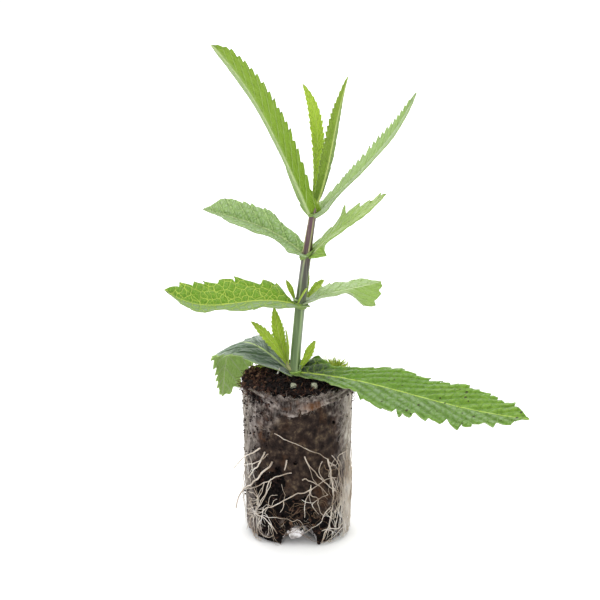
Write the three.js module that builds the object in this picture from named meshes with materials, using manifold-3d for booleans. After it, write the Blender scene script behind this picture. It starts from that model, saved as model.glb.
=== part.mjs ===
import * as THREE from 'three';
import { mergeVertices } from 'three/addons/utils/BufferGeometryUtils.js';
import Module from 'manifold-3d';

// A young potted verbena: five crossed pairs of toothed leaves on a square stem, rooted in a plug
// of growing medium that a paper sleeve holds. Millimetres, +Z up, front towards -Y. The origin is
// the middle of the plug's foot.

// Driving dimensions of the plug
const PLUG_HEIGHT = 50;
const RIM_RADIUS = 17.5;
const FOOT_RADIUS = 16.3;
const PAPER_THICKNESS = 0.6;
const GAP = 0.3;

// Driving dimensions of the plant: the height of each leaf pair, and the stem's two ends
const NODE_HEIGHT = { 1: 53.2, 2: 75.5, 3: 91.3, 4: 103.7, 5: 107.1 };
const STEM_FOOT = 44;
const BUD_TIP = 110.5;
const BLADE_THICKNESS = 0.7;

// Stem: knots of [height, sideways lean] and [height, half its width]. It is square with round edges,
// and swells a little at each pair of leaves.
const STEM_LEAN = [
  [44, -1.5], [53.2, -0.95], [62, -0.35], [75.5, 0.9], [91.3, 2.8], [103.7, 4.7], [110.5, 6],
];
const STEM_RADIUS = [
  [44, 1.5], [53.2, 1.55], [75.5, 1.48], [91.3, 1.36], [103.7, 1.04], [107.1, 0.7], [110.5, 0.3],
];
const STEM_SIDES = 12;
const STEM_ROWS = 26;
const SQUARENESS = 0.07;
const NODE_SWELLING = { share: 0.1, reach: 1.5 };

// Half-width of a blade, as a share of its widest, at shares of its length
const SPATULATE = [
  [0, 0.42], [0.08, 0.4], [0.2, 0.52], [0.45, 0.96], [0.6, 1], [0.8, 0.72], [0.92, 0.38], [1, 0.02],
];
const OVATE = [[0, 0.35], [0.1, 0.48], [0.3, 0.86], [0.5, 1], [0.75, 0.84], [0.9, 0.46], [1, 0.02]];
const CLASPING = [[0, 0.5], [0.1, 0.7], [0.3, 0.88], [0.5, 1], [0.75, 0.98], [0.88, 0.72], [1, 0.02]];
const POINTED = [
  [0, 0.5], [0.1, 0.7], [0.3, 0.88], [0.5, 1], [0.74, 0.98], [0.85, 0.74], [0.94, 0.3], [1, 0.02],
];
const BLUNT = [[0, 0.38], [0.1, 0.5], [0.3, 0.8], [0.55, 1], [0.8, 0.95], [0.93, 0.6], [1, 0.02]];
const LANCEOLATE = [[0, 0.5], [0.1, 0.64], [0.3, 0.92], [0.5, 1], [0.75, 0.8], [0.91, 0.42], [1, 0.02]];
const YOUNG = [[0, 0.4], [0.15, 0.55], [0.4, 0.92], [0.6, 1], [0.8, 0.7], [0.93, 0.32], [1, 0.02]];

// Leaves, each named for its pair and side. The midrib leaves the stem at `azimuth` (0 is +X, 90 is
// +Y), turns by `sweep` on its way and climbs at `pitch`. `roll` turns the blade about the midrib.
// `left` and `right` fold its halves up, as seen from base to tip from above, and `leftWidth` and
// `rightWidth` are how wide each is against the outline. Degrees and millimetres; a list holds
// [share of the length, value] knots. `strips` divides each half. `clasp` is how far the base's left
// and right lobes reach back round the stem.
const LEAVES = {
  leaf_1_right: {
    node: 1, azimuth: -38, sweep: 4, length: 81.4, width: 20.4, outline: SPATULATE,
    pitch: [[0, 9], [0.5, -2], [1, 5]],
    roll: [[0, -7], [1, -15]],
    left: [[0, 40], [0.12, 30], [0.2, 13], [0.5, 9], [1, 12]],
    right: -1,
    leftWidth: [[0, 1.4], [0.12, 1.5], [0.25, 1.3], [0.35, 1.16], [0.6, 0.96], [0.84, 1.18], [1, 0.9]],
    teeth: 17, tooth: 1.3, entire: 0.2, strips: 2, clasp: [0, 0.8],
  },
  leaf_1_left: {
    node: 1, azimuth: 159, sweep: -38, length: 43.6, width: 18.5, outline: OVATE,
    pitch: [[0, 37], [0.2, 31], [0.37, 5], [0.55, -43], [0.75, -77], [1, -79]],
    roll: [[0, 16], [0.4, 12], [0.7, 0], [1, -6]],
    left: 4,
    right: -8,
    leftWidth: [[0, 1], [0.5, 1], [0.75, 0.68], [1, 0.65]],
    rightWidth: [[0, 0.9], [0.2, 0.82], [0.4, 1.02], [0.62, 1.3], [1, 1.1]],
    teeth: 12, tooth: 1.1, entire: 0.3, strips: 2, clasp: [0.5, 0],
  },
  leaf_2_left: {
    node: 2, azimuth: 197, sweep: -4, length: 42.8, width: 16.4, outline: CLASPING,
    pitch: [[0, 18], [0.5, -3], [1, 42]],
    roll: [[0, 14], [1, 25]],
    left: [[0, 6], [0.3, 17], [0.7, 24], [1, 24]],
    right: [[0, 24], [1, 26]],
    leftWidth: [[0, 0.9], [0.25, 0.9], [0.6, 0.72], [1, 0.8]],
    rightWidth: [[0, 0.7], [0.16, 1.02], [1, 1]],
    teeth: 13, tooth: 1.3, entire: 0.1, strips: 2, clasp: [1.4, 0],
  },
  leaf_2_right: {
    node: 2, azimuth: 33, sweep: 0, length: 29.2, width: 14, outline: BLUNT,
    pitch: [[0, 14], [0.3, 5], [0.6, 1], [1, 4]],
    roll: 0,
    left: [[0, 22], [0.3, 17], [0.5, 8], [1, 8]],
    right: [[0, 16], [0.42, 10], [0.66, -38], [1, -44]],
    leftWidth: [[0, 1], [0.45, 0.88], [0.8, 0.8], [1, 0.6]],
    rightWidth: [[0, 1], [0.55, 1], [0.72, 1.12], [0.9, 0.74], [1, 0.6]],
    teeth: 9, tooth: 1.1, entire: 0.2, strips: 2, clasp: [0, 0],
  },
  leaf_3_left: {
    node: 3, azimuth: 149, sweep: -12, length: 41.2, width: 11.9, outline: POINTED,
    pitch: [[0, 34], [0.5, 7], [1, 2]],
    roll: [[0, 35], [1, 21]],
    left: 36,
    right: 58,
    leftWidth: [[0, 1], [0.12, 1], [0.3, 0.64], [0.5, 0.9], [0.75, 0.7], [1, 0.5]],
    rightWidth: [[0, 0.75], [0.15, 0.8], [0.4, 0.97], [0.7, 0.97], [1, 0.9]],
    teeth: 13, tooth: 0.8, entire: 0.24, strips: 1, clasp: [0, 0],
  },
  leaf_3_right: {
    node: 3, azimuth: -28, sweep: 4, length: 33, width: 11, outline: LANCEOLATE,
    pitch: [[0, 49], [0.5, 38], [1, 44]],
    roll: [[0, -17], [1, -24]],
    left: [[0, 16], [0.36, 16], [0.45, 28], [0.62, 14], [0.75, 6], [1, 8]],
    right: [[0, -30], [0.16, -46], [0.34, -4], [1, 8]],
    teeth: 8, tooth: 1.4, entire: 0.2, strips: 1, clasp: [0, 0.8],
  },
  leaf_4_left: {
    node: 4, azimuth: 213.6, sweep: 8, length: 66.4, width: 10.3, outline: LANCEOLATE,
    pitch: [[0, 65.5], [0.5, 59.5], [1, 42]],
    roll: [[0, -44], [0.5, -39], [1, -46]],
    left: [[0, 8], [0.12, 28], [0.3, 52], [1, 50]],
    right: [[0, 24], [0.12, 44], [0.3, 62], [1, 57]],
    leftWidth: [[0, 0.9], [0.25, 0.98], [0.6, 1.05], [0.8, 1.15], [1, 1.4]],
    rightWidth: [[0, 1], [0.2, 0.7], [0.5, 0.85], [1, 1]],
    teeth: 19, tooth: 0.9, entire: 0.08, strips: 1, clasp: [0, 0],
  },
  leaf_4_right: {
    node: 4, azimuth: 26, sweep: 3, length: 49.8, width: 8.3, outline: LANCEOLATE,
    pitch: [[0, 39], [0.5, 41], [1, 63]],
    roll: [[0, 2], [1, 6]],
    left: [[0, 12], [0.2, 20], [1, 18]],
    right: [[0, 4], [0.2, 17], [1, 19]],
    leftWidth: [[0, 1], [0.25, 0.88], [0.6, 1], [1, 0.85]],
    rightWidth: [[0, 1.3], [0.13, 0.88], [0.35, 0.8], [1, 1]],
    teeth: 16, tooth: 0.6, entire: 0.1, strips: 1, clasp: [0, 0],
  },
  leaf_5_left: {
    node: 5, azimuth: 128, sweep: 1, length: 38.2, width: 5.2, outline: YOUNG,
    pitch: [[0, 97], [0.5, 91], [1, 40]],
    roll: [[0, -26], [1, 12]],
    left: 10,
    right: 6,
    leftWidth: [[0, 0.7], [0.45, 0.9], [0.65, 1.1], [1, 1.1]],
    rightWidth: [[0, 1.2], [0.35, 1.2], [0.6, 0.92], [1, 0.85]],
    teeth: 12, tooth: 0.5, entire: 0.1, strips: 1, clasp: [0, 0],
  },
  leaf_5_right: {
    node: 5, azimuth: -50, sweep: 5, length: 42.8, width: 5.6, outline: YOUNG,
    pitch: [[0, 65.5], [0.5, 76], [1, 69]],
    roll: [[0, 5], [1, -12]],
    left: 22,
    right: 21,
    rightWidth: [[0, 1], [0.15, 1.25], [0.5, 1], [1, 1]],
    teeth: 14, tooth: 0.5, entire: 0.1, strips: 1, clasp: [0, 0],
  },
};

// Side shoots in the axils of the two lower pairs: a stub that follows `stub`, and the leaflets on it
const SHOOTS = {
  shoot_1_left: {
    stub: [[-3, -0.9, 54.6], [-3.3, -0.8, 56.8]],
    thickness: 0.75,
    leaflets: [
      { base: [-3.2, -0.8, 56.2], azimuth: 202, pitch: 51, length: 18.8, width: 3.8, roll: 45, fold: 10 },
      { base: [-3.2, -0.7, 56.2], azimuth: 148, pitch: 74, length: 18, width: 3.6, roll: 35, fold: 10 },
      { base: [-3, -0.9, 56.4], azimuth: 223, pitch: 82, length: 10.8, width: 2.4, roll: 20, fold: 20 },
    ],
  },
  shoot_1_right: {
    stub: [[1.8, -0.9, 54.5], [1.9, -1, 56]],
    thickness: 0.55,
    leaflets: [
      { base: [1.9, -1, 55.4], azimuth: -28, pitch: 64, length: 10, width: 3.2, roll: -45, fold: 10 },
    ],
  },
  shoot_2_left: {
    stub: [[-1.1, 0.6, 77.1], [-1.3, -0.7, 77], [0.1, -2.3, 77]],
    thickness: 0.4,
    leaflets: [
      { base: [-1.1, 0.5, 76.9], azimuth: 153, pitch: 62, length: 5.8, width: 1.7, roll: 0, fold: 15 },
      { base: [0.1, -2.3, 76.8], azimuth: -36, pitch: 64, length: 5.4, width: 1.9, roll: -20, fold: 12 },
    ],
  },
  shoot_2_right: {
    stub: [[2.7, 1.9, 77.3], [3.3, 1.4, 77.9]],
    thickness: 0.45,
    leaflets: [
      { base: [2.8, 1.9, 77.2], azimuth: 58, pitch: 80, length: 8.2, width: 2.8, roll: 20, fold: 10 },
      { base: [3.1, 1.5, 77.6], azimuth: 19, pitch: 42, length: 6.8, width: 2.4, roll: -15, fold: 12 },
    ],
  },
};

// Roots that show on the sleeve, as [angle from the front, height, lift] points. The first of each
// list is a main root, drawn as the plant shows it; offshoots then branch off by a seeded rule.
const FRONT_ROOTS = [
  [[-19, 37.5], [-5, 36], [8, 34], [20, 32.5], [31, 29.5]],
  [[31, 29.5], [38, 23.5], [39, 17.5], [39, 10], [31, 5.5], [28, 1.4]],
  [[7, 31.5], [12, 28], [21, 24], [38, 23.5]],
  [[31, 29.5], [22, 29], [23, 24.5], [39, 17.5], [52, 16.5]],
  [[4, 24], [9, 23.5], [21, 21], [39, 17.5], [20, 16.5], [16, 15], [24, 11.5]],
  [[-25, 15], [-14, 16.5], [-2, 19], [13, 20.5], [27, 22.5], [38, 23.5]],
  [[13, 20.5], [11, 16.5], [7, 11]],
  [[39, 10], [32, 11.5], [26, 9.5]],
  [[31, 5.5], [26, 8], [15, 6.5]],
  [[86, 30.5], [61, 30], [45, 29], [38, 23.5]],
  [[28, 27], [38, 23.5], [50, 25.5]],
  [[31, 5.5], [44, 5], [56, 3.2]],
  [[-33, 23], [-39, 16], [-53, 10], [-61, 1.4]],
  [[-25, 29.5], [-47, 21.5], [-72, 15], [-92, 12, 1.6], [-97, 6, 2.6]],
  [[-36, 34], [-60, 29], [-88, 23.5, 1.2]],
  [[-31, 31.5], [-46, 28], [-60, 29]],
  [[-36, 31.5], [-46, 28], [-47, 21.5]],
  [[-7, 26], [-27, 23.4], [-33, 23], [-47, 21.5]],
  [[-53, 10], [-46, 5], [-41, 1.4]],
  [[-53, 10], [-40, 9.4], [-33, 9], [-24, 6.5], [-22, 4]],
  [[-33, 9], [-19, 10.5], [0, 10], [11, 6], [28, 1.4]],
  [[-25, 15], [-39, 16]],
];
const BACK_ROOTS = [
  [[112, 34], [124, 27], [121, 19], [132, 11], [128, 3]],
  [[172, 30], [150, 25], [121, 19]],
  [[150, 25], [158, 16], [154, 8], [166, 1.8]],
  [[158, 16], [180, 13], [203, 15], [222, 8]],
  [[236, 31], [218, 26], [203, 15], [196, 6], [204, 1.8]],
  [[218, 26], [232, 19], [222, 8], [230, 2]],
];

// Tools for numbers

const radians = THREE.MathUtils.degToRad;

// A smooth line through [x, y] knots, flat beyond its ends
function smooth(knots, x) {
  const last = knots.length - 1;
  if (x <= knots[0][0]) return knots[0][1];
  if (x >= knots[last][0]) return knots[last][1];
  const slope = (i) => {
    const [x0, y0] = knots[Math.max(i - 1, 0)];
    const [x1, y1] = knots[Math.min(i + 1, last)];
    return (y1 - y0) / (x1 - x0);
  };
  const i = knots.findIndex((knot) => knot[0] > x) - 1;
  const step = knots[i + 1][0] - knots[i][0];
  const t = (x - knots[i][0]) / step;
  return (2 * t ** 3 - 3 * t ** 2 + 1) * knots[i][1] + (t ** 3 - 2 * t ** 2 + t) * step * slope(i)
    + (3 * t ** 2 - 2 * t ** 3) * knots[i + 1][1] + (t ** 3 - t ** 2) * step * slope(i + 1);
}

// A measure is one number, or knots along the leaf
const measure = (value, s) => (Array.isArray(value) ? smooth(value, s) : value);

// Random draws between two limits, the same on every run
function seededDraw(seed) {
  let state = seed;
  return (low, high) => {
    state = (state * 16807) % 2147483647;
    return low + (high - low) * (state / 2147483647);
  };
}

// Tools for solids

const BALL = [1, 16, 12];

const wasm = await Module();
wasm.setup();

// Moves every vertex of a geometry to where `place` puts it
function reshape(geometry, place) {
  const position = geometry.attributes.position;
  const vertex = new THREE.Vector3();
  for (let i = 0; i < position.count; i += 1) {
    vertex.fromBufferAttribute(position, i);
    position.setXYZ(i, ...place(vertex, i).toArray());
  }
  return geometry;
}

// Shared vertices merged, and the triangles that a pole flattens dropped
function closed(geometry) {
  geometry.deleteAttribute('normal');
  geometry.deleteAttribute('uv');
  const merged = mergeVertices(geometry);
  const corners = [];
  for (let i = 0; i < merged.index.count; i += 3) {
    const [a, b, c] = merged.index.array.slice(i, i + 3);
    if (a !== b && b !== c && c !== a) corners.push(a, b, c);
  }
  merged.setIndex(corners);
  return merged;
}

function toManifold(geometry) {
  const mesh = closed(geometry);
  return new wasm.Manifold(new wasm.Mesh({
    numProp: 3,
    vertProperties: mesh.attributes.position.array,
    triVerts: new Uint32Array(mesh.index.array),
  }));
}

// The largest piece of a solid, without the scraps that a cut leaves loose
function toGeometry(manifold) {
  const pieces = manifold.decompose().sort((a, b) => b.volume() - a.volume());
  const mesh = pieces[0].getMesh();
  const geometry = new THREE.BufferGeometry();
  geometry.setAttribute('position', new THREE.BufferAttribute(mesh.vertProperties, 3));
  geometry.setIndex(new THREE.BufferAttribute(mesh.triVerts, 1));
  return geometry;
}

const fused = (geometries) => geometries.map(toManifold).reduce((sum, next) => sum.add(next));

// An open sheet becomes a closed blade: both faces have the same triangles, and a rim joins them
function thicken(sheet, thickness) {
  sheet.computeVertexNormals();
  const { position, normal } = sheet.attributes;
  const faces = sheet.index.array;
  const count = position.count;
  const points = new Float32Array(count * 6);
  const point = new THREE.Vector3();
  const offset = new THREE.Vector3();
  for (let i = 0; i < count; i += 1) {
    offset.fromBufferAttribute(normal, i).multiplyScalar(thickness / 2);
    point.fromBufferAttribute(position, i).add(offset).toArray(points, i * 3);
    point.addScaledVector(offset, -2).toArray(points, (count + i) * 3);
  }
  const corners = [];
  const edges = new Map();
  for (let i = 0; i < faces.length; i += 3) {
    const [a, b, c] = faces.slice(i, i + 3);
    corners.push(a, b, c, count + c, count + b, count + a);
    for (const [from, to] of [[a, b], [b, c], [c, a]]) edges.set(`${from} ${to}`, [from, to]);
  }
  for (const [from, to] of edges.values()) {
    if (edges.has(`${to} ${from}`)) continue;
    corners.push(count + from, count + to, to, count + from, to, from);
  }
  const blade = new THREE.BufferGeometry();
  blade.setAttribute('position', new THREE.BufferAttribute(points, 3));
  blade.setIndex(corners);
  return blade;
}

// A round or angular rod along points
function rod(points, radius, sides, stepLength) {
  const curve = new THREE.CatmullRomCurve3(points, false, 'centripetal');
  const section = new THREE.Shape();
  for (let side = 0; side < sides; side += 1) {
    const turn = (side / sides) * 2 * Math.PI;
    const corner = [radius * Math.cos(turn), radius * Math.sin(turn)];
    if (side === 0) section.moveTo(...corner);
    else section.lineTo(...corner);
  }
  const steps = Math.max(2, Math.round(curve.getLength() / stepLength));
  return new THREE.ExtrudeGeometry(section, { steps, bevelEnabled: false, extrudePath: curve });
}

// The plug. An angle is measured from the front, towards +X.

const SIDES = 48;
const DENTS = [
  { deep: 0.2, round: 3, climb: 0.05, start: 0 },
  { deep: 0.12, round: 7, climb: 0, start: 1 },
];
const PLAY_IN_SLEEVE = 0.15;
const WORN_EDGE = { deep: 0.8, high: 1.4 };
const SOIL_RISE = 2;
const HEAP = { x: -12, y: 3, high: 1.7, spread: 45 };
const HOLLOW = { x: 8, y: -9, high: -1, spread: 30 };
const HOLE_SIDES = 16;
const HOLE_SWELLING = 1.2;
const HOLE_PLAY = 0.2;
const onPlug = (angle, radius, height) => new THREE.Vector3(
  radius * Math.sin(angle), -radius * Math.cos(angle), height);

// Outside radius of the growing medium: slightly conical, dented, its bottom edge worn round
function mediumRadius(angle, height) {
  const share = Math.max(0, height / PLUG_HEIGHT) ** 0.8;
  const straight = THREE.MathUtils.lerp(FOOT_RADIUS, RIM_RADIUS, share) - PAPER_THICKNESS - GAP;
  const dents = DENTS.reduce((sum, { deep, round, climb, start }) => {
    return sum + deep * Math.sin(round * angle + climb * height + start);
  }, 0);
  const wear = WORN_EDGE.deep * Math.exp(-Math.max(0, height) / WORN_EDGE.high);
  return straight - PLAY_IN_SLEEVE + dents - wear;
}

const sleeveRadius = (angle, height) => mediumRadius(angle, Math.max(height, 3)) + GAP;

// A round rise or hollow of the soil at a place
function mound({ x, y, high, spread }, atX, atY) {
  const away = (atX - x) ** 2 + (atY - y) ** 2;
  return high * Math.exp(-away / spread);
}

// The soil's surface: heaped round the stem and at the left, low at the front right, crumbly
function soilHeight(x, y) {
  const out = Math.hypot(x, y) / RIM_RADIUS;
  const crumbs = 0.35 * Math.sin(1.3 * x + 0.7) * Math.cos(1.1 * y) + 0.25 * Math.sin(2.1 * x - 1.7 * y);
  const dome = 0.1 + SOIL_RISE * (1 - Math.min(1, out) ** 1.5);
  return PLUG_HEIGHT + dome + mound(HEAP, x, y) + mound(HOLLOW, x, y) + crumbs * out;
}

// A plug of growing medium: a wall, a flat foot, and the rough top
const MEDIUM_WALL = [0, 0.03, 0.1, 0.3, 0.5, 0.7, 0.9, 1];
const MEDIUM_TOP = [0.88, 0.74, 0.6, 0.45, 0.3, 0.16];
const NOTCH = { centre: [0.6, -17.5, 0], reach: [6.3, 15, 7.6] };

// The worn arch in the front of the foot
function notchShape() {
  const shape = new THREE.SphereGeometry(...BALL);
  return shape.scale(...NOTCH.reach).translate(...NOTCH.centre);
}

function growingMedium() {
  const profile = [[0, 0], ...MEDIUM_WALL.map((share) => [1, share]),
    ...MEDIUM_TOP.map((share) => [share, 2]), [0, 2]];
  const shape = new THREE.LatheGeometry(profile.map(([x, y]) => new THREE.Vector2(x, y)), SIDES);
  reshape(shape, (vertex) => {
    const angle = Math.atan2(vertex.x, vertex.z);
    const share = Math.hypot(vertex.x, vertex.z);
    const wallTop = vertex.y >= 1;
    const radius = share * mediumRadius(angle, Math.min(vertex.y, 1) * PLUG_HEIGHT);
    const point = onPlug(angle, radius, vertex.y * PLUG_HEIGHT);
    if (wallTop) point.z = soilHeight(point.x, point.y);
    return point;
  });
  const holeRadius = smooth(STEM_RADIUS, STEM_FOOT) * HOLE_SWELLING + GAP + HOLE_PLAY;
  const hole = new THREE.CylinderGeometry(holeRadius, holeRadius, PLUG_HEIGHT, HOLE_SIDES);
  hole.rotateX(Math.PI / 2);
  const middle = smooth(STEM_LEAN, (STEM_FOOT + PLUG_HEIGHT) / 2);
  hole.translate(middle, 0, STEM_FOOT - GAP + PLUG_HEIGHT / 2);
  return toGeometry(toManifold(shape).subtract(toManifold(hole)).subtract(toManifold(notchShape())));
}

// Paper sleeve: torn along both edges. A second ply laps over the top of the front, and its lower
// edge runs in a shallow V. Knots of [degrees, height], and of [degrees, added thickness].
const PLY_EDGE = [[-180, 46], [-60, 47.5], [-38, 48.4], [-9, 44.5], [12, 46.3], [28, 47.5], [45, 48],
  [70, 48.4], [110, 47], [180, 46]];
const PLY_THICKNESS = [[-46, 0], [-30, 0.5], [58, 0.5], [80, 0]];
const TOP_EDGE = [
  [-180, 50.3], [-90, 50.2], [-50, 50.6], [-8, 50], [20, 50.5], [60, 50.4], [124, 49.8], [180, 50.3],
];
const BOTTOM_EDGE = [[-180, 1.3], [-70, 1.6], [-32, 2.6], [-22, 4.6], [-15, 9], [0, 9.8], [12, 9.2],
  [24, 5.6], [40, 6], [60, 5], [88, 1.6], [180, 1.3]];
const WINDOW_DEPTH = 5;
const TORN_WINDOWS = [
  { angle: -40, height: 14, across: 7.2, up: 9.5 },
  { angle: 166, height: 12, across: 4, up: 6 },
  { angle: 106, height: 21, across: 2.2, up: 5 },
];

const rag = (angle) => 0.45 * Math.sin(11 * angle + 1) + 0.35 * Math.sin(19 * angle + 2);

function paperSleeve() {
  // The profile's x is 1 on the inside and 2 on the outside; its y runs 0 to 1 up to the ply's
  // edge, and 1 to 2 above it
  const profile = [[2, 0], [2, 0.3], [2, 0.65], [2, 0.98], [2, 1], [2, 1.5], [2, 2],
    [1, 2], [1, 1.5], [1, 1], [1, 0.65], [1, 0.3], [1, 0], [2, 0]];
  const shape = new THREE.LatheGeometry(profile.map(([x, y]) => new THREE.Vector2(x, y)), SIDES);
  reshape(shape, (vertex) => {
    const angle = Math.atan2(vertex.x, vertex.z);
    const degrees = THREE.MathUtils.radToDeg(angle);
    const outside = Math.hypot(vertex.x, vertex.z) > 1.5;
    const top = smooth(TOP_EDGE, degrees) + rag(angle);
    const bottom = smooth(BOTTOM_EDGE, degrees) + 0.8 * rag(angle);
    const ply = smooth(PLY_EDGE, degrees) + 0.4 * rag(angle + 1);
    const height = vertex.y <= 1 ? THREE.MathUtils.lerp(bottom, ply, vertex.y)
      : THREE.MathUtils.lerp(ply, top, vertex.y - 1);
    const lap = vertex.y >= 1 ? smooth(PLY_THICKNESS, degrees) : 0;
    return onPlug(angle, sleeveRadius(angle, height) + (outside ? PAPER_THICKNESS + lap : 0), height);
  });
  const windows = TORN_WINDOWS.map(({ angle, height, across, up }) => {
    const hole = new THREE.SphereGeometry(...BALL);
    hole.scale(across, WINDOW_DEPTH, up).rotateZ(radians(angle));
    const middle = onPlug(radians(angle), FOOT_RADIUS, height);
    return hole.translate(middle.x, middle.y, middle.z);
  });
  const whole = toManifold(shape);
  return toGeometry(windows.reduce((sleeve, hole) => sleeve.subtract(toManifold(hole)), whole));
}

// Roots on the sleeve

const ROOT_RADIUS = 0.38;
const OFFSHOOT_RADIUS = 0.3;
const ROOT_SIDES = 4;
const OFFSHOOT_SIDES = 3;
const ROOT_STEP = 3.4;
const TOUCHING_CLEARANCE = 0.4;
const ROOT_ENDS = { lowest: 1.4, highest: 34 };
const OFFSHOOT_TURN = [2, 15];
const OFFSHOOT_DROP = [-0.5, 5];

function rootPoint([degrees, height, lift = 0]) {
  const angle = radians(degrees);
  const radius = sleeveRadius(angle, height) + PAPER_THICKNESS + TOUCHING_CLEARANCE + ROOT_RADIUS + lift;
  return onPlug(angle, radius, height);
}

// Offshoots leave a root already there and wander down the sleeve between two angles
function rootWeb(mains, { seed, offshoots, from, to }) {
  const draw = seededDraw(seed);
  const routes = [...mains];
  for (let i = 0; i < offshoots; i += 1) {
    const parent = routes[Math.floor(draw(0, routes.length))];
    const start = parent[Math.floor(draw(0, parent.length))];
    const turn = draw(0, 1) < 0.5 ? -1 : 1;
    const route = [start];
    let [degrees, height] = start;
    const steps = Math.floor(draw(2, 5));
    for (let step = 0; step < steps; step += 1) {
      degrees = THREE.MathUtils.clamp(degrees + turn * draw(...OFFSHOOT_TURN), from, to);
      height -= draw(...OFFSHOOT_DROP);
      height = THREE.MathUtils.clamp(height, ROOT_ENDS.lowest, ROOT_ENDS.highest);
      route.push([degrees, height]);
    }
    routes.push(route);
  }
  return toGeometry(fused(routes.map((route, i) => {
    const main = i < mains.length;
    const radius = main ? ROOT_RADIUS : OFFSHOOT_RADIUS;
    return rod(route.map(rootPoint), radius, main ? ROOT_SIDES : OFFSHOOT_SIDES, ROOT_STEP);
  })));
}

// The stem: square with rounded edges, a little thicker at each node, closed by the bud

function stemCentre(height) {
  return new THREE.Vector3(smooth(STEM_LEAN, height), 0, height);
}

function stem(grown = 0) {
  const shape = new THREE.CylinderGeometry(1, 1, 1, STEM_SIDES, STEM_ROWS);
  return closed(reshape(shape, (vertex) => {
    const height = THREE.MathUtils.lerp(STEM_FOOT, BUD_TIP, vertex.y + 0.5);
    const share = Math.hypot(vertex.x, vertex.z);
    const turn = Math.atan2(vertex.x, vertex.z);
    const swelling = Object.values(NODE_HEIGHT).reduce((most, node) => {
      const away = (height - node) / NODE_SWELLING.reach;
      return Math.max(most, NODE_SWELLING.share * Math.exp(-(away ** 2)));
    }, 0);
    const round = smooth(STEM_RADIUS, height) * (1 + SQUARENESS * Math.cos(4 * turn) + swelling);
    const radius = share * (round + grown);
    return stemCentre(height).add(new THREE.Vector3(radius * Math.sin(turn), -radius * Math.cos(turn), 0));
  }));
}

// A leaf blade. Its rows run from tip to base, its columns from the left margin to the right.

const CLASP_LENGTH = 0.16;
const TOOTH_LEAN = 0.45;

function heading(leaf, s) {
  const turn = radians(leaf.azimuth + (leaf.sweep ?? 0) * s);
  const climb = radians(measure(leaf.pitch, s));
  return new THREE.Vector3(
    Math.cos(climb) * Math.cos(turn), Math.cos(climb) * Math.sin(turn), Math.sin(climb));
}

function midrib(leaf, rows) {
  const points = [leaf.base.clone()];
  for (let row = 0; row < rows; row += 1) {
    points.push(points[row].clone().addScaledVector(heading(leaf, (row + 0.5) / rows), leaf.length / rows));
  }
  return points;
}

// The directions across the blade at a share of its length: to its right, and out of its upper face
function across(leaf, s) {
  const along = heading(leaf, s);
  const turn = radians(leaf.azimuth + (leaf.sweep ?? 0) * s);
  const roll = radians(measure(leaf.roll, s));
  const right = new THREE.Vector3(Math.sin(turn), -Math.cos(turn), 0);
  const up = right.clone().cross(along);
  return {
    right: right.clone().multiplyScalar(Math.cos(roll)).addScaledVector(up, Math.sin(roll)),
    up: up.multiplyScalar(Math.cos(roll)).addScaledVector(right, -Math.sin(roll)),
  };
}

// How far a point of the base reaches back, so that the base follows the round stem and clasps it
function reachBack(leaf, sideways, side) {
  if (!leaf.stemRadius) return 0;
  const round = leaf.stemRadius - Math.sqrt(Math.max(0, leaf.stemRadius ** 2 - sideways ** 2));
  if (sideways < leaf.stemRadius) return round;
  return leaf.stemRadius + leaf.clasp[side < 0 ? 0 : 1];
}

function blade(leaf, grown = 0) {
  const rows = 2 * leaf.teeth;
  const strips = leaf.strips ?? 1;
  const spine = midrib(leaf, rows);
  const sheet = new THREE.PlaneGeometry(1, 1, 2 * strips, rows);
  const outwards = new THREE.Vector3(Math.cos(radians(leaf.azimuth)), Math.sin(radians(leaf.azimuth)), 0);
  reshape(sheet, (vertex) => {
    const row = Math.round((vertex.y + 0.5) * rows);
    const s = row / rows;
    const side = Math.sign(vertex.x);
    const share = Math.abs(vertex.x) * 2;
    const { right, up } = across(leaf, s);
    const point = spine[row].clone();
    if (side === 0) return point;
    const wide = measure((side < 0 ? leaf.leftWidth : leaf.rightWidth) ?? 1, s);
    const half = smooth(leaf.outline, s) * wide * leaf.width / 2 + grown;
    const toothed = s > leaf.entire && s < 1;
    const notched = toothed && share === 1 && row % 2 === 0;
    const sideways = half * share - (notched ? leaf.tooth * Math.min(1, half / 3) : 0);
    const fold = radians(measure(side < 0 ? leaf.left : leaf.right, s));
    point.addScaledVector(right, side * Math.cos(fold) * sideways);
    point.addScaledVector(up, Math.sin(fold) * sideways);
    if (toothed && share === 1 && row % 2 === 1) {
      point.addScaledVector(heading(leaf, s), TOOTH_LEAN * leaf.length / rows);
    }
    const fade = Math.max(0, 1 - s / CLASP_LENGTH) ** 2;
    return point.addScaledVector(outwards, -fade * (reachBack(leaf, half * share, side) + grown));
  });
  return thicken(sheet, BLADE_THICKNESS + 2 * grown);
}

function stemLeaf(leaf, grown = 0) {
  const height = NODE_HEIGHT[leaf.node];
  const swollen = smooth(STEM_RADIUS, height) * (1 + NODE_SWELLING.share + SQUARENESS / 4);
  const clear = swollen + GAP + BLADE_THICKNESS / 4;
  const turn = radians(leaf.azimuth);
  const base = stemCentre(height).add(new THREE.Vector3(clear * Math.cos(turn), clear * Math.sin(turn), 0));
  return blade({ ...leaf, base, stemRadius: clear }, grown);
}

// A side shoot: its leaflets sunk into one short stub
const LEAFLET_MARGIN = { tooth: 0.4, entire: 0.25 };
const LEAFLET_TOOTH_SPACING = 3;
const STUB_SIDES = 6;
const STUB_STEP = 1.2;

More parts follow.
